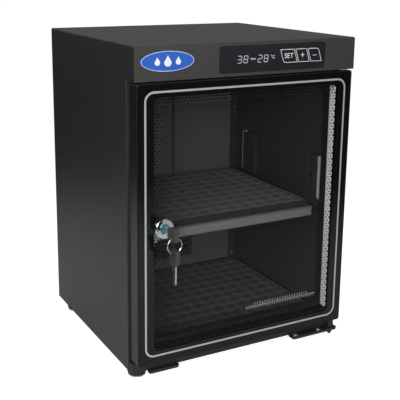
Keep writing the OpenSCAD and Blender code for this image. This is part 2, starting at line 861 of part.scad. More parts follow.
module cold_fins() color("#c8ccd0") placed() {
    cooler_plate(cold_w, cold_h, cold_y, cold_y + base_t, peltier_y - slip_gap);
    fin_row(fin_count, cold_w, cold_h, cold_y - fin_l, cold_y);
}

module thermoelectric_module() color("#f0efe8") placed() {
    difference() {
        box(-peltier_w / 2, peltier_w / 2, peltier_y, peltier_y + peltier_t,
            dryer_cz - peltier_w / 2, dryer_cz + peltier_w / 2);
        for (s = [-1, 1]) {
            box(s * peltier_w / 2 - groove_d, s * peltier_w / 2 + groove_d,
                peltier_y + ceramic_t, peltier_y + peltier_t - ceramic_t,
                dryer_cz - peltier_w, dryer_cz + peltier_w);
        }
    }
}

module insulation_collar() color("#202020") placed() {
    difference() {
        along_y(collar_y, rear_y) {
            pane(-collar_w / 2, collar_w / 2,
                dryer_cz - collar_h / 2, dryer_cz + collar_h / 2, collar_corner_r);
        }
        box(-peltier_w / 2 - seat_gap, peltier_w / 2 + seat_gap, collar_y - overrun, rear_y + overrun,
            dryer_cz - peltier_w / 2 - seat_gap, dryer_cz + peltier_w / 2 + seat_gap);
    }
}

module hot_heatsink() color("#b8bcc0") placed() {
    cooler_plate(hot_w, hot_h, hot_y, peltier_y + peltier_t + slip_gap, hot_y);
    fin_row(hot_fin_count, hot_w, hot_h, hot_y + base_t, hot_y + base_t + hot_fin_l);
}

module drip_tray() color("#d8d8d8") placed() {
    z0 = dryer_cz - dryer_z / 2 + mould_t;
    y0 = cold_y - fin_l;
    difference() {
        box(-cold_w / 2, cold_w / 2, y0, collar_y, z0, z0 + tray_cup_h);
        box(mould_t - cold_w / 2, cold_w / 2 - mould_t, y0 + mould_t, collar_y - mould_t,
            z0 + mould_t, z0 + tray_cup_h + overrun);
    }
}

module rear_vent_cover() color("#1e1e20") placed() {
    z0 = dryer_cz - vent_low;
    z1 = dryer_cz + vent_high;
    slots = floor((z1 - inlet_z - inlet_h) / louvre_pitch) - 1;
    side_slots = floor((vent_w / 2 - 2 * louvre_pitch) / louvre_pitch);
    difference() {
        along_y(rear_y, vent_y) pane(-vent_w / 2, vent_w / 2, z0, z1, 2 * louvre_h);
        along_y(rear_y - overrun, vent_y - mould_t) {
            pane(mould_t - vent_w / 2, vent_w / 2 - mould_t, z0 + mould_t, z1 - mould_t, louvre_h);
        }
        for (i = [0:slots]) {
            translate([0, vent_y, z1 - louvre_pitch * (i + 1)]) rotate([-louvre_tilt, 0, 0]) {
                box(louvre_pitch - vent_w / 2, vent_w / 2 - louvre_pitch, -3 * mould_t, 2 * mould_t,
                    -louvre_h / 2, louvre_h / 2);
            }
        }
        for (i = [-side_slots:side_slots]) {
            box(i * louvre_pitch - louvre_h / 2, i * louvre_pitch + louvre_h / 2,
                rear_y + louvre_h, vent_y - louvre_h, z1 - 2 * mould_t, z1 + overrun);
        }
        box(inlet_x - inlet_body_w / 2 - slip_gap, inlet_x + inlet_body_w / 2 + slip_gap,
            vent_y - 2 * mould_t, vent_y + overrun,
            inlet_z - inlet_body_h / 2 - slip_gap, inlet_z + inlet_body_h / 2 + slip_gap);
    }
}

// Two-pin mains inlet with a well shaped like a figure eight
module power_inlet() color("#141414") placed() {
    front = vent_y + inlet_flange_t;
    difference() {
        union() {
            along_y(vent_y, front) {
                pane(inlet_x - inlet_w / 2, inlet_x + inlet_w / 2,
                    inlet_z - inlet_h / 2, inlet_z + inlet_h / 2, inlet_flange_t);
            }
            box(inlet_x - inlet_body_w / 2, inlet_x + inlet_body_w / 2, vent_y - inlet_body_d, vent_y,
                inlet_z - inlet_body_h / 2, inlet_z + inlet_body_h / 2);
        }
        for (s = [-1, 1]) {
            rod_y(inlet_well_r, front - inlet_well_d, front + overrun,
                inlet_x + s * inlet_pin_pitch / 2, inlet_z);
        }
        box(inlet_x - inlet_pin_pitch / 2, inlet_x + inlet_pin_pitch / 2, front - inlet_well_d,
            front + overrun, inlet_z - inlet_well_r + inlet_waist, inlet_z + inlet_well_r - inlet_waist);
    }
    for (s = [-1, 1]) {
        rod_y(inlet_pin_r, front - inlet_well_d - overrun, front - inlet_flange_t,
            inlet_x + s * inlet_pin_pitch / 2, inlet_z);
    }
}

module wire_duct() color("#2c2c2f") placed() {
    z0 = dryer_cz + dryer_z / 2 + seat_gap;
    y1 = rear_y - sheet_t;
    difference() {
        box(duct_x, duct_x + duct_w, y1 - duct_d, y1, z0, head_z);
        box(duct_x + mould_t, duct_x + duct_w - mould_t, y1 - duct_d + mould_t, y1 + overrun,
            z0 - overrun, head_z + overrun);
        box(duct_x - overrun, duct_x + duct_w + overrun, flange_y - slip_gap, y1 + overrun,
            head_z - flange_w - seat_gap, head_z + overrun);
    }
}

// Slotted channel that stands on the right side sheet, centred on the given distance
module upright(y) {
    z0 = case_z + upright_z;
    slots = floor((upright_h - 2 * slot_edge) / slot_pitch);
    difference() {
        box(web_x, inner_w, y - upright_w / 2, y + upright_w / 2, z0, z0 + upright_h);
        box(web_x + sheet_t, inner_w + overrun, y - upright_w / 2 + sheet_t, y + upright_w / 2 - sheet_t,
            z0 - overrun, z0 + upright_h + overrun);
        for (i = [0:slots]) {
            box(web_x - overrun, web_x + 2 * sheet_t, y - slot_w / 2, y + slot_w / 2,
                z0 + slot_edge + i * slot_pitch - slot_l / 2,
                z0 + slot_edge + i * slot_pitch + slot_l / 2);
        }
    }
}
module uprights() placed() {
    upright(upright_front);
    upright(rear_y - upright_rear);
}
module right_uprights() color("#38383c") uprights();
module left_uprights() color("#38383c") mirror([1, 0, 0]) uprights();

// Angle that the shelf slides on, with hooks in the uprights' slots
module runner() placed() {
    box(shelf_half_w - runner_lap, runner_x, runner_y, runner_y + runner_l,
        runner_z, runner_z + sheet_t);
    box(runner_x - sheet_t, runner_x, runner_y, runner_y + runner_l, runner_z, runner_z + runner_h);
    for (y = [upright_front, rear_y - upright_rear]) {
        along_y(y - hook_t / 2, y + hook_t / 2) {
            x1 = runner_x + hook_deep;
            z0 = hook_z - hook_h / 2;
            polygon([[runner_x - sheet_t, z0 + hook_drop], [web_x + sheet_t + slip_gap, z0 + hook_drop],
                [web_x + sheet_t + slip_gap, z0], [x1, z0], [x1, z0 + hook_h - sheet_t],
                [x1 - sheet_t, z0 + hook_h], [runner_x - sheet_t, z0 + hook_h]]);
        }
    }
}
module right_runner() color("#3e3e42") runner();
module left_runner() color("#3e3e42") mirror([1, 0, 0]) runner();

module shelf_tray() color("#343438") placed() {
    hw = shelf_half_w;
    box(-hw, hw, tray_y - tray_tongue, tray_rear, tray_z, tray_z + sheet_t);
    for (x = [-hw, hw - sheet_t]) {
        box(x, x + sheet_t, tray_y + slip_gap, tray_rear, tray_z, tray_z + shelf_lip_h);
    }
    box(-hw, hw, tray_rear - sheet_t, tray_rear, tray_z, tray_z + shelf_lip_h);
}

module shelf_front_bar() color("#58585c") placed() {
    hw = shelf_half_w;
    difference() {
        along_x(-hw, hw) pane(shelf_y, shelf_y + bar_h, bar_z, bar_z + bar_h, bar_r);
        box(-hw - overrun, hw + overrun, tray_y - tray_tongue - slip_gap, tray_y + overrun,
            tray_z - slip_gap, tray_z + sheet_t + slip_gap);
        for (s = [-1, 1]) translate([s * hw, shelf_y, bar_z - overrun]) rotate([0, 0, 45]) {
            cube([bar_chamfer * sqrt(2), bar_chamfer * sqrt(2), 3 * bar_h], center = true);
        }
    }
}

module shelf_foam() color("#2e2e2e") placed() {
    hw = shelf_half_w - sheet_t - foam_gap;
    foam(-hw, hw, tray_y + foam_gap, tray_rear - sheet_t - foam_gap, tray_z + sheet_t + seat_gap);
}

module floor_foam() color("#2e2e2e") placed() {
    hw = inner_w - sheet_t - foam_gap;
    foam(-hw, hw, floor_foam_y, flange_y - foam_gap, floor_z + seat_gap);
}

module door_glass() color("#15181a") placed() {
    difference() {
        along_y(0, glass_t) door_outline(glass_in, glass_r);
        rod_y(barrel_r + seat_gap, -overrun, glass_t + overrun, lock_x, lock_z);
    }
}

module door_frame() color("#1a1a1c") placed() {
    difference() {
        along_y(0, door_frame_d) door_outline(0, door_corner_r);
        along_y(-overrun, seat_y) door_outline(trim_t, glass_r);
        hull() {
            along_y(glass_t, seat_y) recess_outline(0);
            along_y(door_frame_d, door_frame_d + overrun) recess_outline(recess_flare);
        }
        seal_ring(dart_w + 2 * seat_gap, door_frame_d - dart_l - seat_gap, door_frame_d + overrun);
        rod_z(bush_r, door_z0 - overrun, door_z0 + bush_l, pin_x, pin_y);
        rod_z(bush_r, door_z1 - bush_l, door_z1 + overrun, pin_x, pin_y);
    }
}

// Opening of the door frame behind the glass, grown by the given distance
module recess_outline(out) {
    translate([door_stile_w - door_half_w - out, door_z0 + door_rail_w - out]) {
        square([2 * (door_half_w - door_stile_w + out), door_z1 - door_z0 - 2 * (door_rail_w - out)]);
    }
}

// Middle line of the seal's ring, drawn in by the given distance
module seal_outline(in) door_outline(seal_in + seal_w / 2 + in, glass_r);

// Closed ring of the seal with the given width
module seal_ring(w, y0, y1) {
    difference() {
        along_y(y0, y1) seal_outline(-w / 2);
        along_y(y0 - overrun, y1 + overrun) seal_outline(w / 2);
    }
}

module door_seal() color("#0e0e0e") placed() {
    y1 = body_y - seat_gap;
    head_t = y1 - door_frame_d - seal_base_t - seal_neck_t;
    seal_ring(dart_w, door_frame_d - dart_l, door_frame_d);
    seal_ring(seal_w, door_frame_d, door_frame_d + seal_base_t);
    seal_ring(seal_w * seal_neck_share, door_frame_d + seal_base_t, y1 - head_t);
    seal_ring(seal_w * seal_head_share, y1 - head_t, y1);
}

module glass_tape() color("#0c0c0c") placed() {
    difference() {
        along_y(glass_t, seat_y) door_outline(trim_t + 2 * slip_gap, glass_r);
        along_y(glass_t - overrun, seat_y + overrun) recess_outline(recess_flare);
    }
}

// Bushing with its flange outside the door
module bushing() {
    difference() {
        union() {
            rod_z(bush_r - slip_gap, -bush_flange_t, bush_l - slip_gap, 0, 0);
            rod_z(bush_flange_r, -bush_flange_t, 0, 0, 0);
        }
        rod_z(pin_r + run_gap, -bush_flange_t - overrun, bush_l + overrun, 0, 0);
    }
}
module door_bushings() color("#e0ddd0") placed() {
    translate([pin_x, pin_y, door_z0]) bushing();
    translate([pin_x, pin_y, door_z1]) mirror([0, 0, 1]) bushing();
}

module upper_screw_places() for (y = upper_screw_y) translate([upper_screw_x, y, 0]) children();

module upper_hinge_bracket() color("#8a8c90") placed() {
    z0 = head_z + sheet_t;
    x1 = inner_w - lip_t - 2 * sheet_t;
    difference() {
        along_z(z0, z0 + plate_t) {
            pane(x1 - upper_plate_w, x1, upper_plate_y, upper_plate_y + upper_plate_d, plate_t);
        }
        rod_z(pin_r + run_gap, z0 - overrun, z0 + plate_t + overrun, pin_x, pin_y);
        upper_screw_places() rod_z(hinge_screw_r + slip_gap, z0 - overrun, z0 + plate_t + overrun, 0, 0);
    }
}

module upper_hinge_pin() color("#c0c2c4") placed() {
    z1 = head_z + sheet_t + plate_t;
    translate([pin_x, pin_y, 0]) {
        rod_z(pin_r, door_z1 - pin_l, z1, 0, 0);
        translate([0, 0, z1]) cylinder(r1 = bush_r, r2 = bush_r - pin_head_h / 2, h = pin_head_h);
    }
}

module upper_hinge_screws() color("silver") placed() {
    upper_screw_places() translate([0, 0, head_z + sheet_t + plate_t]) {
        pan_screw(hinge_screw_r, hinge_screw_head_r, hinge_screw_head_h, plate_t + sheet_t);
    }
}

module lower_hinge_plate() color("#2a2a2c") placed() {
    difference() {
        along_z(case_z - plate_t, case_z) {
            pane(lower_plate_x, half_w - plate_side_in, plate_y, plate_y + plate_d, plate_t);
        }
        rod_z(knob_waist_r + slip_gap, case_z - 2 * plate_t, case_z + overrun, pin_x, pin_y);
        for (x = lower_screw_x) {
            rod_z(hinge_screw_r + slip_gap, case_z - 2 * plate_t, case_z + overrun, x, lower_screw_y);
        }
    }
}

// Pin with a collar above the sill's ear and a tapered end with a ball below the plate
module lower_hinge_pin() color("#2c2c2e") placed() {
    z0 = case_z - plate_t;
    ball_z = knob_clear + knob_r;
    translate([pin_x, pin_y, 0]) {
        rod_z(pin_r, floor_z, door_z0 + pin_l, 0, 0);
        rod_z(collar_r, floor_z, door_z0 - bush_flange_t - seat_gap, 0, 0);
        rod_z(knob_waist_r, z0, floor_z, 0, 0);
        translate([0, 0, ball_z]) cylinder(r1 = knob_r, r2 = collar_r, h = z0 - ball_z);
        translate([0, 0, ball_z]) sphere(knob_r);
    }
}

module lower_hinge_screws() color("silver") placed() {
    for (x = lower_screw_x) translate([x, lower_screw_y, floor_z]) {
        pan_screw(hinge_screw_r, hinge_screw_head_r, hinge_screw_head_h,
            sheet_t + plate_t + hinge_screw_end_l);
    }
}

module left_foot_plate() color("#2a2a2c") placed() {
    difference() {
        along_z(case_z - plate_t, case_z) {
            pane(left_plate_x, left_plate_x + left_plate_w, left_plate_y, plate_y + plate_d, plate_t);
        }
        for (s = [1, 3]) {
            rod_z(hinge_screw_r + slip_gap, case_z - 2 * plate_t, case_z + overrun,
                left_plate_x + s * left_plate_w / 4, (left_plate_y + plate_y + plate_d) / 2);
        }
    }
}

module lock_barrel() color("#d8dadc") placed() {
    translate([lock_x, 0, lock_z]) rotate([-90, 0, 0]) difference() {
        rotate_extrude() {
            translate([0, -bezel_t + bezel_round]) square([bezel_r, bezel_t - bezel_round]);
            translate([0, -bezel_t]) square([bezel_r - bezel_round, bezel_t]);
            translate([bezel_r - bezel_round, -bezel_t + bezel_round]) circle(bezel_round);
            square([barrel_r, barrel_end]);
        }
        rod_z(plug_r + run_gap, -bezel_t - overrun, barrel_end + overrun, 0, 0);
        rod_z(bezel_r - bezel_rim, -bezel_t - overrun, bezel_well - bezel_t, 0, 0);
    }
}

module lock_washer() color("#101010") placed() {
    difference() {
        rod_y(washer_r, glass_t, glass_t + washer_t, lock_x, lock_z);
        rod_y(barrel_r + seat_gap, 0, glass_t + 2 * washer_t, lock_x, lock_z);
    }
}

module lock_nut() color("#b0b2b4") placed() {
    y0 = glass_t + washer_t;
    translate([lock_x, y0, lock_z]) rotate([-90, 0, 0]) difference() {
        cylinder(r = nut_r, h = nut_t, $fn = 6);
        translate([0, 0, -overrun]) cylinder(r = barrel_r + slip_gap, h = nut_t + 2 * overrun);
    }
}

module lock_plug() color("#5b8aa0") placed() {
    difference() {
        union() {
            rod_y(plug_r, -bezel_t + bezel_well / 2, barrel_end, lock_x, lock_z);
            box(lock_x - tail_w / 2, lock_x + tail_w / 2, barrel_end, cam_y + cam_t,
                lock_z - tail_w / 2, lock_z + tail_w / 2);
        }
        box(lock_x - blade_t / 2 - slip_gap, lock_x + blade_t / 2 + slip_gap, -bezel_t - overrun,
            blade_tip_y + blade_spare_l, lock_z - blade_w / 2 - slip_gap, lock_z + blade_w / 2 + slip_gap);
        rod_y(cam_screw_r + run_gap, cam_y + cam_t - cam_screw_l - overrun, cam_y + cam_t + overrun,
            lock_x, lock_z);
    }
}

// Flat cam that hangs down when the lock is open and turns behind the frame's left bar
module lock_cam() color("#a8aaac") placed() {
    difference() {
        along_y(cam_y, cam_y + cam_t) {
            translate([lock_x, lock_z]) circle(cam_w / 2);
            translate([lock_x - cam_w / 2, lock_z - cam_l + cam_w / 2]) square([cam_w, cam_l - cam_w / 2]);
            translate([lock_x, lock_z - cam_l + cam_w / 2]) circle(cam_w / 2);
        }
        box(lock_x - tail_w / 2 - slip_gap, lock_x + tail_w / 2 + slip_gap, cam_y - overrun,
            cam_y + cam_t + overrun, lock_z - tail_w / 2 - slip_gap, lock_z + tail_w / 2 + slip_gap);
    }
}

module cam_screw() color("silver") placed() {
    translate([lock_x, cam_y + cam_t, lock_z]) rotate([-90, 0, 0]) {
        pan_screw(cam_screw_r, cam_screw_head_r, cam_screw_head_h, cam_screw_l);
    }
}

// Blade of a key along +Y, with cuts along its upper edge and a shank inside the head
module blade() {
    cuts = [for (i = [0:len(bit_deep) - 1]) bow_l + bit_start + i * bit_pitch];
    hw = blade_w / 2;
    tip = bow_l + blade_l;
    along_x(-blade_t / 2, blade_t / 2) difference() {
        polygon([[bow_l - shank_in, -hw], [tip - tip_l, -hw], [tip, -hw / 3], [tip, hw / 3],
            [tip - tip_l, hw], [bow_l - shank_in, hw]]);
        for (i = [0:len(cuts) - 1]) {
            polygon([[cuts[i] - bit_w / 2, hw - bit_deep[i]], [cuts[i] + bit_w / 2, hw - bit_deep[i]],
                [cuts[i] + bit_w, hw + overrun], [cuts[i] - bit_w, hw + overrun]]);
        }
    }
}

// Moulded head of a key: waisted outline, slotted ring hole, raised rim and a pocket for the blade
module bow() {
    hw = bow_w / 2;
    neck = hw * bow_neck_share;
    shoulder = bow_l * (1 - bow_taper_share);
    difference() {
        along_x(-bow_t / 2, bow_t / 2) {
            difference() {
                union() {
                    pane(0, shoulder, -hw, hw, bow_round);
                    polygon([[bow_round, -hw], [shoulder - bow_round, -hw], [bow_l, -neck],
                        [bow_l, neck], [shoulder - bow_round, hw], [bow_round, hw]]);
                }
                for (s = [-1, 1]) translate([hole_in, s * hole_slide]) circle(hole_r);
                translate([hole_in - hole_r, -hole_slide]) square([2 * hole_r, 2 * hole_slide]);
            }
        }
        for (s = [-1, 1]) {
            along_x(s * bow_t / 2 - bow_dish, s * bow_t / 2 + bow_dish) {
                pane(hole_in + hole_r + bow_dish, shoulder, -neck, neck, bow_dish);
            }
        }
        box(-blade_t / 2 - slip_gap, blade_t / 2 + slip_gap, bow_l - shank_in - slip_gap, bow_l + overrun,
            -blade_w / 2 - slip_gap, blade_w / 2 + slip_gap);
    }
}

module in_lock() placed() translate([lock_x, -key_reach, lock_z]) children();
module on_ring() placed() translate([wire_x, wire_y, spare_top_z]) rotate([-90, 0, 0]) children();
module key_blade() color("#c8cacc") in_lock() blade();
module key_head() color("#242426") in_lock() bow();
module spare_key_blade() color("#c8cacc") on_ring() blade();
module spare_key_head() color("#242426") on_ring() bow();

module key_ring() color("#dcdee0") placed() {
    translate([wire_x, wire_y, ring_z]) rotate([90, 0, 0]) {
        rotate_extrude() translate([wheel_r, 0]) circle(wire_r, $fn = 24);
    }
}

// Places of the four feet, in order front left, front right, rear left, rear right
module foot_places() {
    places = [[foot_in - half_w, foot_front], [half_w - hinge_foot_in, foot_front],
        [foot_in - half_w, rear_y - foot_rear], [half_w - foot_in, rear_y - foot_rear]];
    for (p = places) translate([p[0], p[1], 0]) children();
}

module feet() color("#202022") placed() {
    waist_r = foot_r * foot_waist_share;
    foot_places() difference() {
        rotate_extrude() {
            polygon([[0, glide_t], [waist_r, glide_t], [waist_r + foot_edge, case_z / 2],
                [foot_r - foot_edge / 2, case_z - foot_edge], [foot_r - foot_edge, case_z], [0, case_z]]);
        }
        rod_z(foot_well_r, 0, foot_well_z, 0, 0);
        rod_z(hinge_screw_r + slip_gap, 0, case_z + overrun, 0, 0);
    }
}

module foot_glides() color("#f2f2f0") placed() {
    r = foot_r * foot_waist_share - slip_gap;
    foot_places() rotate_extrude() {
        polygon([[0, 0], [r - glide_t / 2, 0], [r, glide_t / 2], [r, glide_t], [0, glide_t]]);
    }
}

module foot_screws() color("silver") placed() {
    foot_places() translate([0, 0, foot_well_z]) mirror([0, 0, 1]) {
        pan_screw(hinge_screw_r, hinge_screw_head_r, hinge_screw_head_h, foot_screw_l);
    }
}

module back_panel_screws() color("silver") placed() {
    for (s = [-1, 1], z = rear_screw_z) {
        translate([s * (half_w - rear_screw_in), rear_y, z]) rotate([-90, 0, 0]) {
            pan_screw(rear_screw_r, rear_screw_head_r, rear_screw_head_h, rear_screw_l);
        }
    }
}

case_shell();
base_pan();
back_panel();
front_frame();
cabin_ceiling();
fascia();
display_panel();
badge_plate();
control_board();
digit_display();
tact_switches();
key_set();
key_plus();
key_minus();
board_screws();
humidity_sensor();
dryer_housing();
cold_fins();
thermoelectric_module();
insulation_collar();
hot_heatsink();
drip_tray();
rear_vent_cover();
power_inlet();
wire_duct();
left_uprights();
right_uprights();
left_runner();
right_runner();
shelf_tray();
shelf_front_bar();
shelf_foam();
floor_foam();
door_glass();
door_frame();
door_seal();
glass_tape();
door_bushings();
upper_hinge_bracket();
upper_hinge_pin();
upper_hinge_screws();
lower_hinge_plate();
lower_hinge_pin();
lower_hinge_screws();
left_foot_plate();
lock_barrel();
lock_washer();
lock_nut();
lock_plug();
lock_cam();
cam_screw();
key_blade();
key_head();
key_ring();
spare_key_blade();
spare_key_head();
feet();
foot_glides();
foot_screws();
back_panel_screws();
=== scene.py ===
"""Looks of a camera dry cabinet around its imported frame: finishes, foam mats, prints and the studio."""

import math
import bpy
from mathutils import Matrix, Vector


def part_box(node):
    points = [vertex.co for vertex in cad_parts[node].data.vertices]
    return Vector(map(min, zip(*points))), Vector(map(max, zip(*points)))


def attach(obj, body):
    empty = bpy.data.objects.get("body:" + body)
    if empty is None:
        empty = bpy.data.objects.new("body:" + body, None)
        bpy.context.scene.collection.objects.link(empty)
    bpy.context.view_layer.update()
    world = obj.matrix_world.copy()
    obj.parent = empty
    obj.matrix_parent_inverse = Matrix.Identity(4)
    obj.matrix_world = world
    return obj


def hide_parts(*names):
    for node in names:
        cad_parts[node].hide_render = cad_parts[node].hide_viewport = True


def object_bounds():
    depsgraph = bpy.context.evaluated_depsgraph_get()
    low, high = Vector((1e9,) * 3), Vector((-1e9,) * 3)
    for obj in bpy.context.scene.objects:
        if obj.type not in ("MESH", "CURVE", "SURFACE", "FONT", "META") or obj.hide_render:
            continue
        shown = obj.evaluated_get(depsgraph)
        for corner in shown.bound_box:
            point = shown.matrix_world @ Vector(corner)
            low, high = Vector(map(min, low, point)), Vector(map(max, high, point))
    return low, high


bl_info = {
    "name": "Camera dry cabinet",
    "version": (1, 0, 0),
    "blender": (4, 5, 0),
    "location": "View3D > Sidebar > Cabinet",
    "description": "Dresses the cabinet's frame with its finishes, foam mats, prints and a studio",
    "category": "Object",
}

import bmesh
import bpy
from mathutils import Matrix, Vector

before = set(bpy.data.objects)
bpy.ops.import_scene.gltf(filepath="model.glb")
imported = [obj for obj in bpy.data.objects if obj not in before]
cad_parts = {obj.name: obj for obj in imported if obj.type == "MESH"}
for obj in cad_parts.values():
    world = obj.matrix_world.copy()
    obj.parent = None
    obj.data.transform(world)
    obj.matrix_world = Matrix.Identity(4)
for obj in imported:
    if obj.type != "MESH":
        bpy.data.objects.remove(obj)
CAD_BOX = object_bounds()
MM = 0.001
FILM = 0.05 * MM  # thickness of a print
SKIN = 0.4 * MM  # depth to which an outer face keeps its own colour
PRINT_REACH = 0.5 * MM  # depth of glass that carries the print
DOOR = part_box("door_frame")
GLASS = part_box("door_glass")
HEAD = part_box("fascia")
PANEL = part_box("display_panel")
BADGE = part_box("badge_plate")
SHELF_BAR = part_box("shelf_front_bar")
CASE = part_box("case_shell")
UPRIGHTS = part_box("right_uprights")


def length(name, about, default):
    """A size in metres that a user can change."""
    return bpy.props.FloatProperty(name=name, description=about, default=default, unit="LENGTH", precision=5)


def share(name, about, default):
    """A plain number from 0 to 1 that a user can change."""
    return bpy.props.FloatProperty(name=name, description=about, default=default, min=0, max=1)


def number(name, about, default):
    """A plain number that a user can change."""
    return bpy.props.FloatProperty(name=name, description=about, default=default)


def tint(name, about, default):
    """A linear colour that a user can change."""
    return bpy.props.FloatVectorProperty(
        name=name, description=about, default=default, size=3, subtype="COLOR", min=0, max=1
    )


def angle(name, about, degrees):
    """An angle that a user can change."""
    return bpy.props.FloatProperty(
        name=name, description=about, default=math.radians(degrees), subtype="ANGLE"
    )


class StudioSettings(bpy.types.PropertyGroup):
    """The camera, the lamps and the floor."""

    camera_place: bpy.props.FloatVectorProperty(
        name="Camera place", description="Where the camera stands", subtype="TRANSLATION",
        default=(-0.5832, -1.0569, 0.5649),
    )
    azimuth: angle("Azimuth", "Turn of the camera's view to the right of straight ahead", 28.29)
    elevation: angle("Elevation", "How far the camera looks down", 12.63)
    roll: angle("Roll", "Turn of the camera about its own view", 0.52)
    lens: number("Lens", "Focal length in millimetres", 71.59)
    shift_x: number("Shift across", "Share of the frame", 0.025)
    shift_y: number("Shift up", "Share of the frame", -0.1375)
    floor_lift: share("Floor lift", "Light that the floor adds where the camera sees it", 0.84)
    floor_colour: tint("Floor", "Colour of the floor", (0.60, 0.60, 0.60))
    far_colour: tint("Far floor", "Floor past the pale paper, as gloss shows it", (0.06, 0.06, 0.06))
    paper_near: length("Paper", "Radius at which the pale paper starts to darken", 0.55)
    paper_far: length("Paper end", "Radius at which the pale paper ends", 1.2)
    key_power: number("Key", "Power of the large lamp on the left", 8.0)
    fill_power: number("Fill", "Power of the lamp on the right", 2.5)
    top_power: number("Top", "Power of the lamp overhead", 6.0)
    front_power: number("Front", "Power of the lamp by the camera", 17.0)
    ambient: share("Ambient", "Strength of the light from all round", 0.33)
    dark_front: share("Dark front", "Brightness of the room behind the camera, as gloss shows it", 0.03)
    bright_rear: share("Bright rear", "Brightness of the wall behind the cabinet, as gloss shows it", 0.22)


class PrintSettings(bpy.types.PropertyGroup):
    """The print on the door's glass and on the display."""

    line_inset: length("Line inset", "Distance of the pale line from the door's edge", 10.8 * MM)
    line_width: length("Line width", "Width of the pale line", 2.8 * MM)
    line_radius: length("Line radius", "Corner radius of the pale line", 14 * MM)
    band_inset: length("Band inset", "Distance of the dotted band from the door's sides", 24.5 * MM)
    band_drop: length("Band drop", "Distance of the dotted band from the door's top and foot", 19.5 * MM)
    band_width: length("Band width", "Width of the dotted band", 11.5 * MM)
    dot_pitch: length("Dot pitch", "Distance between two dots", 5.2 * MM)
    dot_radius: length("Dot radius", "Radius of the dots at the band's outer edge", 1.55 * MM)
    dot_fade: length("Dot fade", "Loss of radius towards the band's inner edge", 0.6 * MM)
    glass_ior: number("Glass IOR", "Strength of the glass's gloss", 1.45)
    line_colour: tint("Line", "Colour of the pale line", (0.36, 0.39, 0.39))
    border_colour: tint("Border", "Colour of the printed border", (0.004, 0.0045, 0.005))
    stile: length("Door stile", "Width of the door frame's uprights at the glass", 24 * MM)
    rail: length("Door rail", "Height of the door frame's bars at the glass", 22.5 * MM)
    recess_flare: length("Flare", "How far the recess widens towards the rear", 3.5 * MM)
    liner_clear: length("Liner", "Depth of the liner over the recess's side", 1.1 * MM)
    liner_gap: length("Liner gap", "Gap between the liner and the recess's side", 0.3 * MM)
    band_share: share("Glass between dots", "How much the glass hides between the dots", 0.01)
    clear_share: share("Clear glass", "How much the clear glass hides", 0.16)
    white: tint("White print", "Colour of the white outlines and letters", (0.8, 0.8, 0.8))
    rule_colour: tint("Rule", "Colour of the rule on the glass", (0.42, 0.42, 0.42))
    stroke: length("Stroke", "Width of the outlines round the keys", 0.75 * MM)
    key_slant: length("Key slant", "Sideways lean of the keys", 6.1 * MM)
    key_rim: length("Key rim", "Height of the hidden flange above and below a key", 1.5 * MM)
    humidity: bpy.props.StringProperty(
        name="Humidity", description="Digits of the humidity", default="38"
    )
    warmth: bpy.props.StringProperty(
        name="Temperature", description="Digits of the temperature", default="28"
    )
    digit_height: length("Digit height", "Height of a digit", 9.4 * MM)
    digit_width: length("Digit width", "Width of a digit", 6.0 * MM)
    digit_pitch: length("Digit pitch", "Distance between two digits", 9.8 * MM)
    digit_stroke: length("Digit stroke", "Width of a segment", 0.95 * MM)
    digit_lean: share("Digit lean", "Sideways lean of the digits", 0.1)
    digit_drop: length("Digit drop", "How far the digits stand under the window's middle", 0.6 * MM)
    humidity_place: length("Humidity place", "Where the humidity's digits stand", -15.5 * MM)
    warmth_place: length("Warmth place", "Where the temperature's digits stand", 17 * MM)
    humidity_unit_size: length("Humidity unit size", "Size of the humidity's unit", 4.2 * MM)
    warmth_unit_size: length("Warmth unit size", "Size of the temperature's unit", 6.3 * MM)
    humidity_unit_place: length("Humidity unit", "Where the humidity's unit stands", 1 * MM)
    warmth_unit_place: length("Warmth unit", "Where the temperature's unit stands", 33 * MM)
    warmth_unit_rise: length("Warmth unit rise", "How far the temperature's unit stands higher", 1.5 * MM)
    word_size: length("Word size", "Size of the word on a key", 10 * MM)
    sign_size: length("Sign size", "Size of the sign on a key", 12.5 * MM)
    key_edge: length("Key edge", "Distance of an outline from the key's edge", 0.25 * MM)
    key_round: length("Key round", "Radius of the outer corner of the first and the last key", 4 * MM)
    key_corner: length("Key corner", "Radius of the keys' other corners", 0.4 * MM)
    rule_length: length("Rule length", "Length of the rule on the glass", 123 * MM)
    rule_drop: length("Rule drop", "Distance of the rule from the head's top", 385.5 * MM)
    rule_stroke: length("Rule stroke", "Width of the rule's strokes", 0.75 * MM)
    digit_colour: tint("Digits", "Colour of the lit digits", (0.85, 0.9, 0.95))
    digit_glow: number("Digit glow", "Brightness of the digits", 0.38)


class BadgeSettings(bpy.types.PropertyGroup):
    """The badge's rim and its drops."""

    rim_in: length("Rim inset", "Distance of the rim from the plate's edge", 0.3 * MM)
    rim: length("Rim", "Width of the rim", 0.9 * MM)
    raise_by: length("Height", "How far rim and drops stand out", 0.1 * MM)
    large_drop: length("Large drop", "Radius of the middle drop", 5.2 * MM)
    small_drop: length("Small drop", "Radius of the outer drops", 3.8 * MM)
    drop_pitch: length("Drop pitch", "Distance between two drops", 15 * MM)
    point_share: share("Point", "How far a drop is drawn out, in radii", 0.78)


class FoamSettings(bpy.types.PropertyGroup):
    """The egg-crate foam mats."""

    pitch: length("Pitch", "Distance between two peaks", 23 * MM)
    base: length("Base", "Thickness up to the valleys", 8.8 * MM)
    wave: length("Wave", "Height of the peaks above the valleys", 2.2 * MM)
    per_pitch: bpy.props.IntProperty(
        name="Steps", description="Mesh steps from peak to peak", default=8, min=4
    )
    colour: tint("Foam", "Colour of the foam", (0.034, 0.034, 0.035))


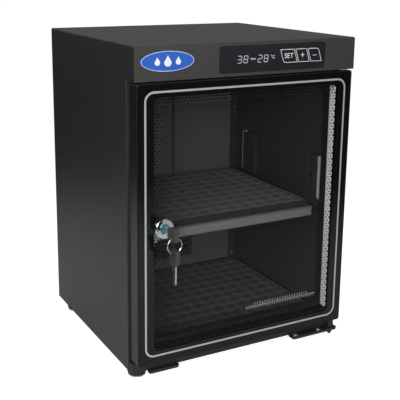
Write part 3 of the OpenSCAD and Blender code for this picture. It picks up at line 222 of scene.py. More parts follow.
class FinishSettings(bpy.types.PropertyGroup):
    """Colours of the cabinet's finishes."""

    case: tint("Case", "Powder coat of the case", (0.019, 0.019, 0.021))
    # painted light: the case's inner faces are painted paler than its outside, so that the dim cabin looks
    # lit
    case_cabin_painted_light: tint("Case inside", "Powder coat of the case's inner faces", (0.055, 0.055, 0.058))
    # painted light: the inside coat is a paler grey than the back wall's own dark coat, standing in for
    # light on the shaded back wall
    inner: tint("Inside", "Powder coat of the inside", (0.15, 0.15, 0.15))
    # painted highlight: pale strips on the uprights' edges stand in for light caught by their rounded
    # corners
    edge_highlight: tint("Cut edges", "Bare zinc on the cut edges of the uprights", (0.75, 0.75, 0.77))
    edge_highlight_width: length("Cut edge width", "Width of the bare zinc on the uprights", 1.6 * MM)
    sheet: tint("Sheets", "Textured coat of shelf and uprights", (0.05, 0.05, 0.053))
    mould: tint("Mouldings", "Black moulded plastic", (0.017, 0.017, 0.018))
    fascia: tint("Head", "Moulded head of the cabinet", (0.045, 0.043, 0.041))
    bar: tint("Shelf bar", "Front bar of the shelf", (0.23, 0.23, 0.235))
    white: tint("White parts", "White moulded parts", (0.74, 0.74, 0.72))
    door: tint("Door", "Moulded frame of the door", (0.008, 0.008, 0.009))
    key_head: tint("Key heads", "Moulded heads of the keys", (0.045, 0.042, 0.040))
    dryer: tint("Dryer", "Moulded housing of the dryer", (0.05, 0.05, 0.052))
    glide: tint("Glides", "Nylon under the feet", (0.42, 0.42, 0.42))
    film: tint("Film", "Film over the display and the keys", (0.018, 0.018, 0.023))
    # painted highlight: the liner's near-white colour stands in for studio light reflected on the recess
    # wall
    liner: tint("Liner", "Pale strip in the door's recess", (0.95, 0.95, 0.95))
    mark: tint("Badge marks", "Drops on the badge", (0.80, 0.84, 0.90))
    mask: tint("Board", "Solder mask of the circuit board", (0.012, 0.11, 0.05))
    track: tint("Tracks", "Solder mask over the tracks", (0.03, 0.2, 0.09))
    segments: tint("Digit block", "Block of digits behind the film", (0.02, 0.022, 0.028))
    ceramic: tint("Ceramic", "Faces of the cooling module", (0.8, 0.79, 0.74))
    collar: tint("Collar", "Closed-cell collar round the module", (0.02, 0.02, 0.02))
    seal: tint("Seal", "Rubber of the door's seal", (0.012, 0.012, 0.012))
    acetal: tint("Bushings", "Acetal of the door's bushings", (0.72, 0.70, 0.64))
    zinc: tint("Zinc", "Plating of screws and nuts", (0.72, 0.73, 0.76))
    steel: tint("Steel", "Rolled steel of hinge bracket and cam", (0.56, 0.56, 0.58))
    aluminium: tint("Aluminium", "Fins and heat sink", (0.78, 0.79, 0.81))
    chrome: tint("Chrome", "Bezel of the lock", (0.80, 0.82, 0.84))
    plug: tint("Plug", "Blued plug of the lock", (0.16, 0.40, 0.52))
    nickel: tint("Nickel", "Blades of the keys", (0.80, 0.79, 0.76))
    spring: tint("Ring", "Spring steel of the key ring", (0.84, 0.85, 0.87))
    badge: tint("Badge", "Enamel of the badge", (0.035, 0.12, 0.50))
    badge_rim: tint("Badge rim", "Rim of the badge", (0.42, 0.56, 0.88))


GROUPS = {
    "cabinet_studio": StudioSettings,
    "cabinet_print": PrintSettings,
    "cabinet_badge": BadgeSettings,
    "cabinet_foam": FoamSettings,
    "cabinet_finish": FinishSettings,
}


class Signal:
    """A shader socket whose arithmetic adds Math nodes to the finish that it belongs to."""

    def __init__(self, finish, socket):
        self.finish = finish
        self.socket = socket

    def out(self, name):
        """Another output of the same node."""
        return Signal(self.finish, self.socket.node.outputs[name])

    def math(self, operation, *others):
        """A Math node with this signal as its first value."""
        inputs = dict(enumerate((self, *others)))
        return self.finish.node("ShaderNodeMath", {"operation": operation}, inputs)

    def __add__(self, other):
        return self.math("ADD", other)

    def __radd__(self, other):
        return self.math("ADD", other)

    def __sub__(self, other):
        return self.math("SUBTRACT", other)

    def __rsub__(self, other):
        return self.finish.node("ShaderNodeMath", {"operation": "SUBTRACT"}, {0: other, 1: self})

    def __mul__(self, other):
        return self.math("MULTIPLY", other)

    def __rmul__(self, other):
        return self.math("MULTIPLY", other)

    def __truediv__(self, other):
        return self.math("DIVIDE", other)

    def __pow__(self, other):
        return self.math("POWER", other)

    def __abs__(self):
        return self.math("ABSOLUTE")


class Finish:
    """A material on Object coordinates, or the world on its directions, while its nodes are made."""

    def __init__(self, name, world=False):
        self.data = (bpy.data.worlds if world else bpy.data.materials).new(name)
        self.data.use_nodes = True
        self.tree = self.data.node_tree
        self.tree.nodes.clear()
        self.place = self.node("ShaderNodeTexCoord").out("Generated" if world else "Object")

    def node(self, kind, settings=None, inputs=None):
        """Adds a node: its settings first, then the values or links of its sockets, by name or number."""
        node = self.tree.nodes.new(kind)
        for key, value in (settings or {}).items():
            setattr(node, key, value)
        for key, value in (inputs or {}).items():
            if isinstance(value, Signal):
                self.tree.links.new(value.socket, node.inputs[key])
            else:
                node.inputs[key].default_value = value
        return Signal(self, node.outputs[0]) if node.outputs else None

    def axes(self):
        """The three coordinates of the place as signals."""
        parts = self.node("ShaderNodeSeparateXYZ", None, {0: self.place})
        return parts.out("X"), parts.out("Y"), parts.out("Z")

    def noise(self, scale, detail=2.0, roughness=0.5, vector=None):
        """Noise with features of about one over the scale, in metres."""
        return self.node(
            "ShaderNodeTexNoise", None,
            {"Vector": vector or self.place, "Scale": scale, "Detail": detail, "Roughness": roughness},
        )

    def stretched(self, scale):
        """Object coordinates stretched by a scale for each axis."""
        return self.node("ShaderNodeMapping", None, {"Vector": self.place, "Scale": scale})

    def blend(self, share_of_b, a, b):
        """A colour between a and b: sockets 0, 6 and 7 are the Mix node's factor, A and B for colours."""
        mix = self.node("ShaderNodeMix", {"data_type": "RGBA"}, {0: share_of_b, 6: a, 7: b})
        return mix.out(2)

    def bump(self, height, strength, distance):
        """The normal of a relief."""
        inputs = {"Strength": strength, "Distance": distance, "Height": height}
        return self.node("ShaderNodeBump", None, inputs)

    def surface(self, inputs):
        """Ends the material in a Principled shader with these sockets."""
        shader = self.node("ShaderNodeBsdfPrincipled", None, inputs)
        self.node("ShaderNodeOutputMaterial", None, {"Surface": shader})
        return self.data


def opaque(colour):
    """A colour with its alpha."""
    return (*colour, 1.0)


def shaded(colour, factor):
    """A colour made lighter or darker."""
    return (*(min(1.0, c * factor) for c in colour), 1.0)


def powder_coat(name, colour, roughness, cabin_painted_light_colour=None):
    """Sprayed and baked paint: orange peel, a little uneven gloss and faint handling marks.

    With an inner colour it is the case's coat, painted paler on the faces that look into the cabin: painted
    light that stands in for light that hardly reaches inside.
    """
    f = Finish(name)
    broad = f.noise(7, 3)
    marks = f.noise(1, 4, 0.6, f.stretched((60, 60, 9)))
    coat = f.blend(broad, shaded(colour, 0.88), shaded(colour, 1.12))
    if cabin_painted_light_colour is not None:
        # painted light: the case's faces inside the cabin get a paler colour in place of the light that
        # reaches them
        x, _, z = f.axes()
        cabin_light_mask = abs(x).math("LESS_THAN", CASE[1].x - SKIN) * z.math("LESS_THAN", CASE[1].z - SKIN)
        coat = f.blend(cabin_light_mask, coat, opaque(cabin_painted_light_colour))
    return f.surface({
        "Base Color": coat,
        "Roughness": roughness - 0.05 + 0.07 * broad + 0.05 * marks,
        "Normal": f.bump(f.noise(360, 2), 0.16, 0.06 * MM),
    })


def textured_coat(name, colour, highlight_colour=None, width=0):
    """Coarse textured powder coat, as on folded inner sheets.

    With an edge colour it is the uprights' coat, with a pale, smoother strip along the front and rear edges
    above the shelf as a painted highlight.
    """
    f = Finish(name)
    grain = f.noise(420, 2, 0.5)
    coat = f.blend(grain, shaded(colour, 0.75), shaded(colour, 1.3))
    if highlight_colour is None:
        roughness = 0.5 + 0.1 * f.noise(12, 2)
    else:
        _, y, z = f.axes()
        # painted highlight: pale strips along the uprights' front and rear edges, only above the shelf where
        # light reaches them
        front = y.math("LESS_THAN", UPRIGHTS[0].y + width)
        edge = front.math("MAXIMUM", y.math("GREATER_THAN", UPRIGHTS[1].y - width))
        edge = edge * z.math("GREATER_THAN", SHELF_BAR[1].z)
        coat = f.blend(edge, coat, opaque(highlight_colour))
        roughness = 0.5 - 0.15 * edge
    return f.surface({
        "Base Color": coat,
        "Roughness": roughness,
        "Normal": f.bump(grain, 0.2, 0.08 * MM),
    })


def moulding(name, colour, roughness=0.4, grain=900, relief=0.22):
    """Moulded plastic with a fine eroded grain."""
    f = Finish(name)
    fine = f.noise(grain, 2, 0.55)
    flow = f.noise(1, 2, 0.5, f.stretched((14, 14, 40)))
    return f.surface({
        "Base Color": f.blend(flow, shaded(colour, 0.9), shaded(colour, 1.1)),
        "Roughness": roughness - 0.04 + 0.08 * fine,
        "Normal": f.bump(fine, relief, 0.08 * MM),
    })


def gloss(name, colour, roughness=0.08):
    """Gloss plastic or enamel with a faint waviness."""
    f = Finish(name)
    wave = f.noise(45, 2)
    return f.surface({
        "Base Color": f.blend(wave, shaded(colour, 0.92), shaded(colour, 1.08)),
        "Roughness": roughness + 0.04 * f.noise(8, 3),
        "Coat Weight": 0.6,
        "Coat Roughness": 0.04,
        "Normal": f.bump(wave, 0.04, 0.1 * MM),
    })


def rubber(name, colour):
    """Matt rubber with a dusty bloom."""
    f = Finish(name)
    bloom = f.noise(160, 3, 0.6)
    return f.surface({
        "Base Color": f.blend(bloom, shaded(colour, 0.8), shaded(colour, 1.6)),
        "Roughness": 0.62 + 0.12 * bloom,
        "Normal": f.bump(bloom, 0.15, 0.1 * MM),
    })


def metal(name, colour, roughness, lay=(30, 900, 900), brushed=0.12):
    """Metal whose fine lay follows one axis."""
    f = Finish(name)
    lines = f.noise(1, 3, 0.6, f.stretched(lay))
    cloud = f.noise(35, 3)
    return f.surface({
        "Base Color": f.blend(cloud, shaded(colour, 0.88), shaded(colour, 1.06)),
        "Metallic": 1.0,
        "Roughness": roughness - 0.03 + 0.05 * cloud + brushed * lines,
        "Normal": f.bump(lines, 0.06, 0.05 * MM),
    })


def foam_finish(name, colour):
    """Open-cell foam: each pore painted darker and the cell walls lighter, as painted shade and light, with
    darker patches at random and a soft sheen.
    """
    f = Finish(name)
    cells = f.node("ShaderNodeTexVoronoi", {"feature": "F1"}, {"Vector": f.place, "Scale": 900.0})
    pore_relief_and_shade = cells.out("Distance")
    cloud = f.noise(75, 4, 0.75)
    height = pore_relief_and_shade + 0.5 * f.noise(300, 2)
    # painted shade and light: darker towards each pore, lighter on the cell walls
    pore_shaded_tone = f.blend(pore_relief_and_shade, shaded(colour, 1.5), shaded(colour, 0.55))
    return f.surface({
        "Base Color": f.blend(3.0 * cloud - 1.0, shaded(colour, 0.35), pore_shaded_tone),
        "Roughness": 0.92,
        "Sheen Weight": 0.25,
        "Sheen Roughness": 0.5,
        "Normal": f.bump(height, 0.5, 0.35 * MM),
    })


def circuit_finish(name, mask, track):
    """Solder mask over fine, broken tracks."""
    f = Finish(name)
    _, _, z = f.axes()
    tracks = abs((z / (1.6 * MM)).math("FRACT") - 0.5).math("LESS_THAN", 0.18)
    broken = f.noise(90, 1).math("GREATER_THAN", 0.5)
    return f.surface({
        "Base Color": f.blend(tracks * broken, opaque(mask), opaque(track)),
        "Roughness": 0.3,
        "Normal": f.bump(tracks, 0.2, 0.1 * MM),
    })


def rounded_distance(x, z, half_w, half_h, radius):
    """Signed distance from the edge of a rectangle with round corners, less than zero inside."""
    qx = abs(x) - (half_w - radius)
    qz = abs(z) - (half_h - radius)
    outside = (qx.math("MAXIMUM", 0.0) ** 2.0 + qz.math("MAXIMUM", 0.0) ** 2.0).math("SQRT")
    inside = qx.math("MAXIMUM", qz).math("MINIMUM", 0.0)
    return outside + inside - radius


def glass_finish(p):
    """Door glass: black printed border, pale line, band of fading dots, clear middle."""
    f = Finish("door_glass_print")
    x, y, z = f.axes()
    centre = (DOOR[0] + DOOR[1]) / 2
    half = (DOOR[1] - DOOR[0]) / 2
    x = x - centre.x
    z = z - centre.z
    line = rounded_distance(x, z, half.x - p.line_inset, half.z - p.line_inset, p.line_radius)
    line = abs(line + p.line_width / 2).math("LESS_THAN", p.line_width / 2)
    band = rounded_distance(x, z, half.x - p.band_inset, half.z - p.band_drop, p.line_radius / 2)
    border = band.math("GREATER_THAN", 0.0)
    row_pitch = p.dot_pitch * math.sqrt(3) / 2
    row = z / row_pitch
    odd = (row.math("FLOOR") * 0.5).math("FRACT")
    across = ((x / p.dot_pitch + odd).math("FRACT") - 0.5) * p.dot_pitch
    up = (row.math("FRACT") - 0.5) * row_pitch
    reach = (across ** 2.0 + up ** 2.0).math("SQRT")
    radius = p.dot_radius + band * (p.dot_fade / p.band_width)
    in_band = band.math("GREATER_THAN", -p.band_width)
    dots = reach.math("LESS_THAN", radius) * in_band
    front = y.math("LESS_THAN", GLASS[0].y + PRINT_REACH)
    printed = border.math("MAXIMUM", dots * front)
    hidden = p.clear_share - (p.clear_share - p.band_share) * in_band
    smear = f.noise(6, 4, 0.6)
    return f.surface({
        "Base Color": f.blend(line * front, opaque(p.border_colour), opaque(p.line_colour)),
        "Roughness": 0.03 + 0.03 * smear + 0.2 * line,
        "IOR": p.glass_ior,
        "Alpha": hidden + (1.0 - hidden) * printed,
    })


def glow_finish(name, colour, strength):
    """Lit segments behind a film."""
    f = Finish(name)
    return f.surface({
        "Base Color": (0.2, 0.2, 0.2, 1),
        "Roughness": 0.3,
        "Emission Color": f.blend(f.noise(400, 1), shaded(colour, 0.85), shaded(colour, 1.1)),
        "Emission Strength": strength,
    })


def make_finishes(scene):
    """Every finish of the cabinet by name."""
    c = scene.cabinet_finish
    p = scene.cabinet_print
    return {
        "case": powder_coat("case_coat", c.case, 0.36, c.case_cabin_painted_light),
        # painted light: the inside coat is lightened to stand in for light that hardly reaches the cabin
        "inner": powder_coat("inner_coat", c.inner, 0.5),
        "pan": powder_coat("pan_coat", c.mould, 0.5),
        "sheet": textured_coat("sheet_coat", c.sheet),
        "uprights": textured_coat("upright_coat", c.sheet, c.edge_highlight, c.edge_highlight_width),
        "fascia": moulding("head_moulding", c.fascia, 0.33, 700, 0.12),
        "door": moulding("door_moulding", c.door, 0.24, 800, 0.1),
        "mould": moulding("black_moulding", c.mould, 0.45),
        "key_head": moulding("key_moulding", c.key_head, 0.38, 1200, 0.3),
        "white": moulding("white_moulding", c.white, 0.42, 900, 0.15),
        "glide": moulding("glide_nylon", c.glide, 0.25, 900, 0.05),
        "dryer": moulding("dryer_moulding", c.dryer, 0.45, 900, 0.15),
        "bar": moulding("bar_extrusion", c.bar, 0.26, 500, 0.08),
        "film": gloss("display_film", c.film),
        "badge": gloss("badge_enamel", c.badge, 0.12),
        "badge_rim": gloss("badge_rim_enamel", c.badge_rim, 0.15),
        "badge_mark": gloss("badge_mark_enamel", c.mark, 0.15),
        "board": circuit_finish("circuit_mask", c.mask, c.track),
        "segments": moulding("segment_block", c.segments, 0.25),
        "ceramic": moulding("ceramic_faces", c.ceramic, 0.55, 400, 0.1),
        "collar": rubber("closed_cell_collar", c.collar),
        "seal": rubber("seal_rubber", c.seal),
        "bushing": moulding("acetal", c.acetal, 0.35, 700, 0.05),
        "zinc": metal("zinc_plate", c.zinc, 0.24, (400, 400, 400)),
        "steel": metal("rolled_steel", c.steel, 0.32),
        "fins": metal("sawn_aluminium", c.aluminium, 0.34, (900, 900, 40)),
        "chrome": metal("polished_chrome", c.chrome, 0.09, (300, 300, 300), 0.03),
        "plug": metal("blued_plug", c.plug, 0.18, (500, 500, 500), 0.05),
        "nickel": metal("nickel_plate", c.nickel, 0.2, (900, 900, 60), 0.08),
        "ring": metal("spring_steel", c.spring, 0.18, (300, 300, 300), 0.04),
        # painted highlight: near-white liner in place of light caught on the recess wall
        "liner": moulding("liner_strip", c.liner, 0.35, 500, 0.05),
        "glass": glass_finish(p),
        "print": gloss("white_print", p.white, 0.3),
        "rule_print": gloss("rule_print", p.rule_colour, 0.3),
        "glow": glow_finish("digit_glow", p.digit_colour, p.digit_glow),
        "foam": foam_finish("egg_crate_foam", scene.cabinet_foam.colour),
    }


# The frame's nodes by the finish that they get
NODE_FINISH = {
    "case": ["case_shell"],
    # painted light: back panel and duct take the pale inside coat in place of light in the cabin
    "inner": ["back_panel", "wire_duct"],
    "pan": ["base_pan", "front_frame", "cabin_ceiling", "lower_hinge_plate", "left_foot_plate",
            "lower_hinge_pin"],
    "uprights": ["left_uprights", "right_uprights"],
    "sheet": ["left_runner", "right_runner", "shelf_tray"],
    "fascia": ["fascia"],
    "door": ["door_frame"],
    "mould": ["rear_vent_cover", "power_inlet", "feet", "tact_switches"],
    "key_head": ["key_head", "spare_key_head"],
    "dryer": ["dryer_housing", "drip_tray"],
    "white": ["humidity_sensor"],
    "glide": ["foot_glides"],
    "bar": ["shelf_front_bar"],
    "film": ["display_panel", "key_set", "key_plus", "key_minus"],
    "badge": ["badge_plate"],
    "board": ["control_board"],
    "segments": ["digit_display"],
    "ceramic": ["thermoelectric_module"],
    "collar": ["insulation_collar"],
    "seal": ["door_seal", "glass_tape", "lock_washer"],
    "bushing": ["door_bushings"],
    "zinc": ["board_screws", "upper_hinge_screws", "lower_hinge_screws", "foot_screws",
             "back_panel_screws", "cam_screw", "lock_nut"],
    "steel": ["upper_hinge_bracket", "upper_hinge_pin", "lock_cam"],
    "fins": ["cold_fins", "hot_heatsink"],
    "chrome": ["lock_barrel"],
    "plug": ["lock_plug"],
    "nickel": ["key_blade", "spare_key_blade"],
    "ring": ["key_ring"],
    "glass": ["door_glass"],
    "foam": ["shelf_foam", "floor_foam"],
}
FINISHES = {}  # materials by name, filled by the finishes operator
WELD_REACH = 0.001 * MM  # corners nearer than this become one
FLAT_ANGLE = math.radians(0.5)  # faces that turn less than this become one
EDGE_ANGLE = math.radians(35)  # edges that turn more than this are broken
# Width of each node's broken edges, in millimetres
SOFT_EDGES = {
    "fascia": 0.9, "case_shell": 0.3, "door_frame": 0.6, "door_glass": 0.4, "shelf_front_bar": 0.5,
    "display_panel": 0.2, "badge_plate": 0.4, "key_head": 0.6, "spare_key_head": 0.6,
    "rear_vent_cover": 0.4, "dryer_housing": 0.5, "lower_hinge_plate": 0.4, "left_foot_plate": 0.4,
}


def mesh_object(name, bm, material):
    """Makes an object of a bmesh at the origin."""
    mesh = bpy.data.meshes.new(name)
    bm.to_mesh(mesh)
    bm.free()
    mesh.materials.append(material)
    piece = bpy.data.objects.new(name, mesh)
    bpy.context.scene.collection.objects.link(piece)
    return piece


def new_piece(name, bm, finish, body):
    """Makes a finished piece and puts it on its body."""
    piece = mesh_object(name, bm, FINISHES[finish])
    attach(piece, body)
    return piece


def flat_face(bm, points):
    """A face through points of the XZ plane that looks towards the front."""
    return bm.faces.new([bm.verts.new((x, 0, z)) for x, z in points])


def round_corners(bm, face, radii):
    """Rounds the corners of a face, each by its own radius."""
    corners = list(face.verts)
    for corner, radius in zip(corners, radii):
        if radius > 0:
            bmesh.ops.bevel(
                bm, geom=[corner], offset=radius, segments=6, profile=0.5, affect="VERTICES", material=-1
            )


def outline_ring(bm, stroke):
    """Turns the faces of a bmesh into rings of the given width along their edges."""
    faces = list(bm.faces)
    bmesh.ops.inset_individual(bm, faces=faces, thickness=stroke)
    bmesh.ops.delete(bm, geom=faces, context="FACES")


def extruded(bm, faces):
    """Extrudes faces in place, keeps them, and gives the new vertices."""
    made = bmesh.ops.extrude_face_region(bm, geom=faces, use_keep_orig=True)
    return [g for g in made["geom"] if isinstance(g, bmesh.types.BMVert)]


def thicken(bm, y, depth):
    """Gives flat faces a depth, with their front at y."""
    bmesh.ops.translate(bm, vec=(0, depth, 0), verts=extruded(bm, list(bm.faces)))
    bmesh.ops.translate(bm, vec=(0, y, 0), verts=list(bm.verts))
    bmesh.ops.recalc_face_normals(bm, faces=list(bm.faces))


def lettering(name, text, size, place, finish, body):
    """Thin letters on a front, centred on place."""
    curve = bpy.data.curves.new(name, "FONT")
    curve.body = text
    curve.size = size
    curve.extrude = 0.6 * FILM
    curve.align_x = "CENTER"
    curve.align_y = "CENTER"
    holder = bpy.data.objects.new(name + "_outline", curve)
    bpy.context.scene.collection.objects.link(holder)
    bpy.context.view_layer.update()
    mesh = bpy.data.meshes.new_from_object(holder.evaluated_get(bpy.context.evaluated_depsgraph_get()))
    bpy.data.objects.remove(holder)
    bm = bmesh.new()
    bm.from_mesh(mesh)
    bpy.data.meshes.remove(mesh)
    turn = Matrix.Translation(place) @ Matrix.Rotation(math.pi / 2, 4, "X")
    bmesh.ops.transform(bm, matrix=turn, verts=list(bm.verts))
    new_piece(name, bm, finish, body)


class CABINET_OT_finishes(bpy.types.Operator):
    """Makes the finishes and puts them on the frame's nodes"""

    bl_idname = "cabinet.finishes"
    bl_label = "Finishes"

    def execute(self, context):
        FINISHES.update(make_finishes(context.scene))
        listed = set()
        for finish, nodes in NODE_FINISH.items():
            for node in nodes:
                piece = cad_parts[node]
                piece.data.materials.clear()
                piece.data.materials.append(FINISHES[finish])
                listed.add(node)
        if listed != set(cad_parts):
            raise RuntimeError(f"no finish for {sorted(set(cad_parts) - listed)}")
        return {"FINISHED"}


class CABINET_OT_soft_edges(bpy.types.Operator):
    """Breaks the edges of the pieces that show"""

    bl_idname = "cabinet.soft_edges"
    bl_label = "Broken edges"

    def execute(self, context):
        for node, width in SOFT_EDGES.items():
            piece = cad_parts[node]
            weld = piece.modifiers.new("weld", "WELD")
            weld.merge_threshold = WELD_REACH
            flat = piece.modifiers.new("planes", "DECIMATE")
            flat.decimate_type = "DISSOLVE"
            flat.angle_limit = FLAT_ANGLE
            edge = piece.modifiers.new("edges", "BEVEL")
            edge.width = width * MM
            edge.segments = 2
            edge.limit_method = "ANGLE"
            edge.angle_limit = EDGE_ANGLE
            edge.use_clamp_overlap = True
            edge.harden_normals = True
        return {"FINISHED"}


TOP_TILT = 0.3  # least rise of a foam face's normal that belongs to the waves


class CABINET_OT_foam_mats(bpy.types.Operator):
    """Makes the two egg-crate foam mats"""

    bl_idname = "cabinet.foam_mats"
    bl_label = "Foam mats"

    def mat(self, s, node, body, name):
        """One mat in the space of its node."""
        low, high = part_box(node)
        size = high - low
        counts = [round(size[i] / s.pitch) for i in (0, 1)]
        bm = bmesh.new()
        bmesh.ops.create_grid(
            bm, x_segments=counts[0] * s.per_pitch, y_segments=counts[1] * s.per_pitch, size=0.5
        )
        bmesh.ops.scale(bm, vec=(size.x, size.y, 1), verts=list(bm.verts))
        middle = (low + high) / 2
        bmesh.ops.translate(bm, vec=(middle.x, middle.y, low.z), verts=list(bm.verts))
        for vertex in extruded(bm, list(bm.faces)):
            u = (vertex.co.x - low.x) / size.x * counts[0] * 2 * math.pi
            v = (vertex.co.y - low.y) / size.y * counts[1] * 2 * math.pi
            vertex.co.z = low.z + s.base + s.wave * (2 + math.cos(u) + math.cos(v)) / 4
        bmesh.ops.recalc_face_normals(bm, faces=list(bm.faces))
        piece = new_piece(name, bm, "foam", body)
        for polygon in piece.data.polygons:
            polygon.use_smooth = polygon.normal.z > TOP_TILT
        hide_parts(node)

    def execute(self, context):
        s = context.scene.cabinet_foam
        self.mat(s, "shelf_foam", "shelf", "shelf_foam_mat")
        self.mat(s, "floor_foam", "cabinet", "floor_foam_mat")
        return {"FINISHED"}


class CABINET_OT_door_liner(bpy.types.Operator):
    """Lines the sides of the door's recess with a near-white strip behind the dotted print; its pale colour
    is a painted highlight for studio light on the recess walls
    """

    bl_idname = "cabinet.door_liner"
    bl_label = "Door liner"

    def execute(self, context):
        p = context.scene.cabinet_print
        z0, z1 = DOOR[0].z + p.rail, DOOR[1].z - p.rail
        y0, y1 = GLASS[1].y + p.liner_clear, DOOR[1].y - p.liner_clear
        slope = p.recess_flare / (DOOR[1].y - GLASS[1].y)
        bm = bmesh.new()
        for side, edge in ((1, DOOR[1].x - p.stile), (-1, DOOR[0].x + p.stile)):
            front = edge - side * p.liner_clear
            rear = front + side * slope * (y1 - y0)
            corners = ((front, y0, z0), (front, y0, z1), (rear, y1, z1), (rear, y1, z0))
            face = bm.faces.new([bm.verts.new(c) for c in corners])
            reach = side * (p.liner_clear - p.liner_gap)
            bmesh.ops.translate(bm, vec=(reach, 0, 0), verts=extruded(bm, [face]))
        bmesh.ops.recalc_face_normals(bm, faces=list(bm.faces))
        new_piece("door_liner", bm, "liner", "door")
        return {"FINISHED"}


# Bars of each digit, from a at the top clockwise to f, with g in the middle
SEGMENTS = {
    "0": "abcdef", "1": "bc", "2": "abged", "3": "abgcd", "4": "fgbc",
    "5": "afgcd", "6": "afgedc", "7": "abc", "8": "abcdefg", "9": "abcdfg",
}


class CABINET_OT_display_digits(bpy.types.Operator):
    """Makes the lit digits and their units"""

    bl_idname = "cabinet.display_digits"
    bl_label = "Display digits"

    def segment(self, bm, p, cx, cz, letter):
        """One hexagonal bar of a digit."""
        half_w, half_h, t = p.digit_width / 2, p.digit_height / 2, p.digit_stroke / 2
        gap = 0.35 * t
        if letter in "bcef":
            mx = half_w if letter in "bc" else -half_w
            mz = half_h / 2 if letter in "bf" else -half_h / 2
            reach = half_h / 2 - gap
            points = [
                (0, -reach), (t, t - reach), (t, reach - t), (0, reach), (-t, reach - t), (-t, t - reach),
            ]
        else:
            mx, mz = 0, {"a": half_h, "g": 0, "d": -half_h}[letter]
            reach = half_w - gap
            points = [
                (-reach, 0), (t - reach, -t), (reach - t, -t), (reach, 0), (reach - t, t), (t - reach, t),
            ]
        flat_face(bm, [(cx + mx + px + p.digit_lean * (mz + pz), cz + mz + pz) for px, pz in points])

    def execute(self, context):
        p = context.scene.cabinet_print
        y = PANEL[0].y - FILM
        cz = (PANEL[0].z + PANEL[1].z) / 2 - p.digit_drop
        bm = bmesh.new()
        for centre, text in ((p.humidity_place, p.humidity), (p.warmth_place, p.warmth)):
            for i, digit in enumerate(text):
                cx = centre + (i - 0.5) * p.digit_pitch
                for letter in SEGMENTS[digit]:
                    self.segment(bm, p, cx, cz, letter)
        thicken(bm, y, 0.8 * FILM)
        new_piece("display_digits", bm, "glow", "cabinet")
        place = (p.humidity_unit_place, y, cz)
        lettering("humidity_unit", "%RH", p.humidity_unit_size, place, "print", "cabinet")
        place = (p.warmth_unit_place, y, cz + p.warmth_unit_rise)
        lettering("warmth_unit", "°C", p.warmth_unit_size, place, "print", "cabinet")
        return {"FINISHED"}


class CABINET_OT_key_prints(bpy.types.Operator):
    """Prints the outlines and signs of the three keys"""

    bl_idname = "cabinet.key_prints"
    bl_label = "Key prints"

    def execute(self, context):
        p = context.scene.cabinet_print
        for node, body, sign, rounded in (
            ("key_set", "set_key", "SET", 0),
            ("key_plus", "plus_key", "+", None),
            ("key_minus", "minus_key", "–", 2),
        ):
            low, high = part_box(node)
            z0, z1 = low.z + p.key_rim, high.z - p.key_rim
            edge = p.key_edge
            points = [
                (low.x + p.key_slant + edge, z0 + edge), (high.x - edge, z0 + edge),
                (high.x - p.key_slant - edge, z1 - edge), (low.x + edge, z1 - edge),
            ]
            bm = bmesh.new()
            face = flat_face(bm, points)
            round_corners(bm, face, [p.key_round if i == rounded else p.key_corner for i in range(4)])
            outline_ring(bm, p.stroke)
            thicken(bm, low.y - 0.8 * FILM, FILM)
            new_piece(node + "_outline", bm, "print", body)
            size = p.word_size if len(sign) > 1 else p.sign_size
            middle = ((low.x + high.x) / 2, low.y - 0.4 * FILM, (z0 + z1) / 2)
            lettering(node + "_sign", sign, size, middle, "print", body)
        return {"FINISHED"}


class CABINET_OT_badge_marks(bpy.types.Operator):
    """Makes the badge's rim and three plain drops of water on it"""

    bl_idname = "cabinet.badge_marks"
    bl_label = "Badge marks"

    def disc(self, bm, half_w, half_h, segments):
        """A flat ellipse that looks towards the front."""
        made = bmesh.ops.create_circle(bm, cap_ends=True, segments=segments, radius=1)["verts"]
        bmesh.ops.rotate(bm, verts=made, matrix=Matrix.Rotation(math.pi / 2, 3, "X"))
        bmesh.ops.scale(bm, vec=(half_w, 1, half_h), verts=made)
        return made

    def execute(self, context):
        b = context.scene.cabinet_badge
        half = (BADGE[1] - BADGE[0]) / 2
        centre = (BADGE[0] + BADGE[1]) / 2
        y = BADGE[0].y - b.raise_by
        bm = bmesh.new()
        self.disc(bm, half.x - b.rim_in, half.z - b.rim_in, segments=96)
        outline_ring(bm, b.rim)
        bmesh.ops.translate(bm, vec=(centre.x, 0, centre.z), verts=list(bm.verts))
        thicken(bm, y, 1.5 * b.raise_by)
        new_piece("badge_rim", bm, "badge_rim", "cabinet")
        bm = bmesh.new()
        for i, size in ((-1, b.small_drop), (0, b.large_drop), (1, b.small_drop)):
            drop = self.disc(bm, size, size, segments=40)
            for vertex in drop:
                rise = max(0.0, vertex.co.z / size)
                vertex.co.x *= 1 - b.point_share * rise ** 2
                vertex.co.z += size * b.point_share * rise ** 2
            bmesh.ops.translate(bm, vec=(centre.x + i * b.drop_pitch, 0, centre.z - size / 3), verts=drop)
        thicken(bm, y, 1.5 * b.raise_by)
        new_piece("badge_drops", bm, "badge_mark", "cabinet")
        return {"FINISHED"}


# Rows of ticks: first and last share of the rule, pitch, foot and top over the rule
RULE_TICKS = (
    (0.12, 0.92, 4.4 * MM, 1.9 * MM, 5.6 * MM),
    (0, 1, 3.3 * MM, -3.2 * MM, -1.2 * MM),
)


